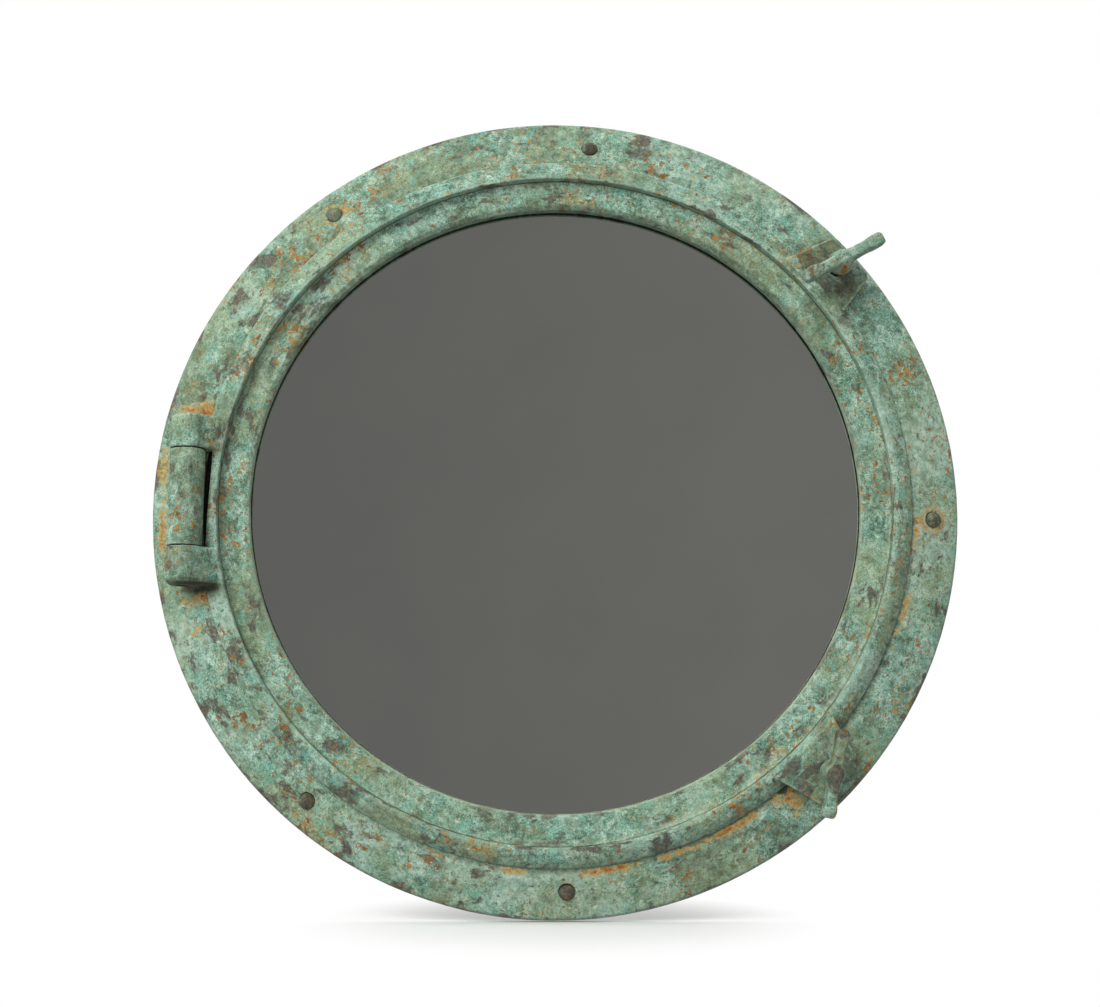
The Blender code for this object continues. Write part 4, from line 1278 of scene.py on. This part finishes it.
for which, _, _ in DOGS:
    settle_piece(dog_pieces["dog_bolt_" + which], "dog_bolt_" + which, "dog_" + which, bolt_finish)
    settle_piece(dog_pieces["dog_pin_" + which], "dog_pin_" + which, "frame", pin_finish)
    settle_piece(dog_pieces["dog_washer_" + which], "dog_washer_" + which, "washer_" + which, washer_finish)
    settle_piece(dog_pieces["wing_nut_" + which], "wing_nut_" + which, "nut_" + which, nut_finish)

# ---- floor, light and camera ------------------------------------------------------------------------
FLOOR_Z = -0.2545
floor_mesh = bpy.data.meshes.new("floor")
floor_mesh.from_pydata([(-14, -14, FLOOR_Z), (14, -14, FLOOR_Z), (14, 14, FLOOR_Z), (-14, 14, FLOOR_Z)], [], [(0, 1, 2, 3)])
floor = bpy.data.objects.new("floor", floor_mesh)
scene.collection.objects.link(floor)
floor_material = bpy.data.materials.new("floor_pale")
floor_material.use_nodes = True
shader = floor_material.node_tree.nodes["Principled BSDF"]
shader.inputs["Base Color"].default_value = (0.93, 0.93, 0.92, 1)
shader.inputs["Roughness"].default_value = 0.9
shader.inputs["Specular IOR Level"].default_value = 0.1
# further out the floor runs into the white of the studio, so no horizon shows
tree = floor_material.node_tree
coord = tree.nodes.new("ShaderNodeTexCoord")
flat = tree.nodes.new("ShaderNodeVectorMath")
flat.operation = "LENGTH"
fade = tree.nodes.new("ShaderNodeMapRange")
fade.interpolation_type = "SMOOTHSTEP"
fade.inputs["From Min"].default_value = 0.2560
fade.inputs["From Max"].default_value = 0.305
white = tree.nodes.new("ShaderNodeEmission")
white.inputs["Strength"].default_value = 1.0
blend = tree.nodes.new("ShaderNodeMixShader")
tree.links.new(coord.outputs["Object"], flat.inputs[0])
tree.links.new(flat.outputs["Value"], fade.inputs["Value"])
tree.links.new(fade.outputs["Result"], blend.inputs[0])
tree.links.new(shader.outputs[0], blend.inputs[1])
tree.links.new(white.outputs[0], blend.inputs[2])
tree.links.new(blend.outputs[0], tree.nodes["Material Output"].inputs["Surface"])
floor_mesh.materials.append(floor_material)
floor.visible_glossy = False
floor.visible_diffuse = False

# a large dark grey flat faces the mirror, so that it shows a plain dim room; only reflections see it
flat_mesh = bpy.data.meshes.new("grey_flat")
flat_mesh.from_pydata([(-9.0, -3.2, -5.5), (9.0, -3.2, -5.5), (9.0, -3.2, 6.0), (-9.0, -3.2, 6.0)], [], [(0, 1, 2, 3)])
grey_flat = bpy.data.objects.new("grey_flat", flat_mesh)
scene.collection.objects.link(grey_flat)
flat_material = bpy.data.materials.new("flat_grey")
flat_material.use_nodes = True
tree = flat_material.node_tree
tree.nodes.clear()
out = tree.nodes.new("ShaderNodeOutputMaterial")
glow = tree.nodes.new("ShaderNodeEmission")
coord = tree.nodes.new("ShaderNodeTexCoord")
split = tree.nodes.new("ShaderNodeSeparateXYZ")
span = tree.nodes.new("ShaderNodeMapRange")
ramp = tree.nodes.new("ShaderNodeValToRGB")
tree.links.new(coord.outputs["Object"], split.inputs[0])
tree.links.new(split.outputs[0], span.inputs["Value"])
span.inputs["From Min"].default_value = -1.6
span.inputs["From Max"].default_value = 0.6
tree.links.new(span.outputs["Result"], ramp.inputs[0])
ramp.color_ramp.elements[0].color = (0.125, 0.125, 0.120, 1)
ramp.color_ramp.elements[1].color = (0.172, 0.171, 0.160, 1)
tree.links.new(ramp.outputs["Color"], glow.inputs["Color"])
glow.inputs["Strength"].default_value = 1.0
tree.links.new(glow.outputs[0], out.inputs["Surface"])
flat_mesh.materials.append(flat_material)
grey_flat.visible_camera = False
grey_flat.visible_diffuse = False
grey_flat.visible_shadow = False
grey_flat.visible_transmission = False


def area(name, at, toward, size, power, colour=(1, 1, 1)):
    data = bpy.data.lights.new(name, "AREA")
    data.shape, data.size = "DISK", size
    data.energy, data.color = power, colour
    light = bpy.data.objects.new(name, data)
    scene.collection.objects.link(light)
    light.location = at
    light.rotation_euler = (Vector(toward) - Vector(at)).to_track_quat("-Z", "Y").to_euler()
    light.visible_glossy = False
    return light


area("key", (-1.5, -2.2, 1.45), (0, 0, 0), 2.0, 72)
area("fill", (-0.5, -2.3, -1.1), (0, 0, 0), 1.6, 38)
area("top", (-0.3, 0.2, 2.6), (0, 0, -0.2), 2.2, 24)

world = bpy.data.worlds.new("studio")
scene.world = world
world.use_nodes = True
nodes, links = world.node_tree.nodes, world.node_tree.links
background = nodes["Background"]
background.inputs["Color"].default_value = (1, 1, 1, 1)
path = nodes.new("ShaderNodeLightPath")
# the studio's soft light comes from above; what is seen directly is plain white
sky = nodes.new("ShaderNodeTexCoord")
height = nodes.new("ShaderNodeSeparateXYZ")
links.new(sky.outputs["Generated"], height.inputs[0])
soft = nodes.new("ShaderNodeMapRange")
soft.interpolation_type = "SMOOTHSTEP"
soft.inputs["From Min"].default_value = -0.35
soft.inputs["From Max"].default_value = 0.75
soft.inputs["To Min"].default_value = 0.46
soft.inputs["To Max"].default_value = 0.60
links.new(height.outputs[2], soft.inputs["Value"])
level = nodes.new("ShaderNodeMath")
level.operation = "MAXIMUM"
links.new(path.outputs["Is Camera Ray"], level.inputs[0])
links.new(soft.outputs["Result"], level.inputs[1])
links.new(level.outputs[0], background.inputs["Strength"])

scene.view_settings.view_transform = "Standard"
scene.view_settings.look = "None"

TILT = math.radians(9.05)
camera_data = bpy.data.cameras.new("camera")
camera = bpy.data.objects.new("camera", camera_data)
scene.collection.objects.link(camera)
camera.location = (0.0, -0.9116, -0.1439)
camera.rotation_euler = Vector((0, math.cos(TILT), math.sin(TILT))).to_track_quat("-Z", "Y").to_euler()
camera_data.lens, camera_data.sensor_width = 47.57, 36.0
camera_data.shift_x, camera_data.shift_y = -0.0047, 0.0014
camera_data.clip_start = 0.02
camera_data.dof.use_dof = False
scene.camera = camera
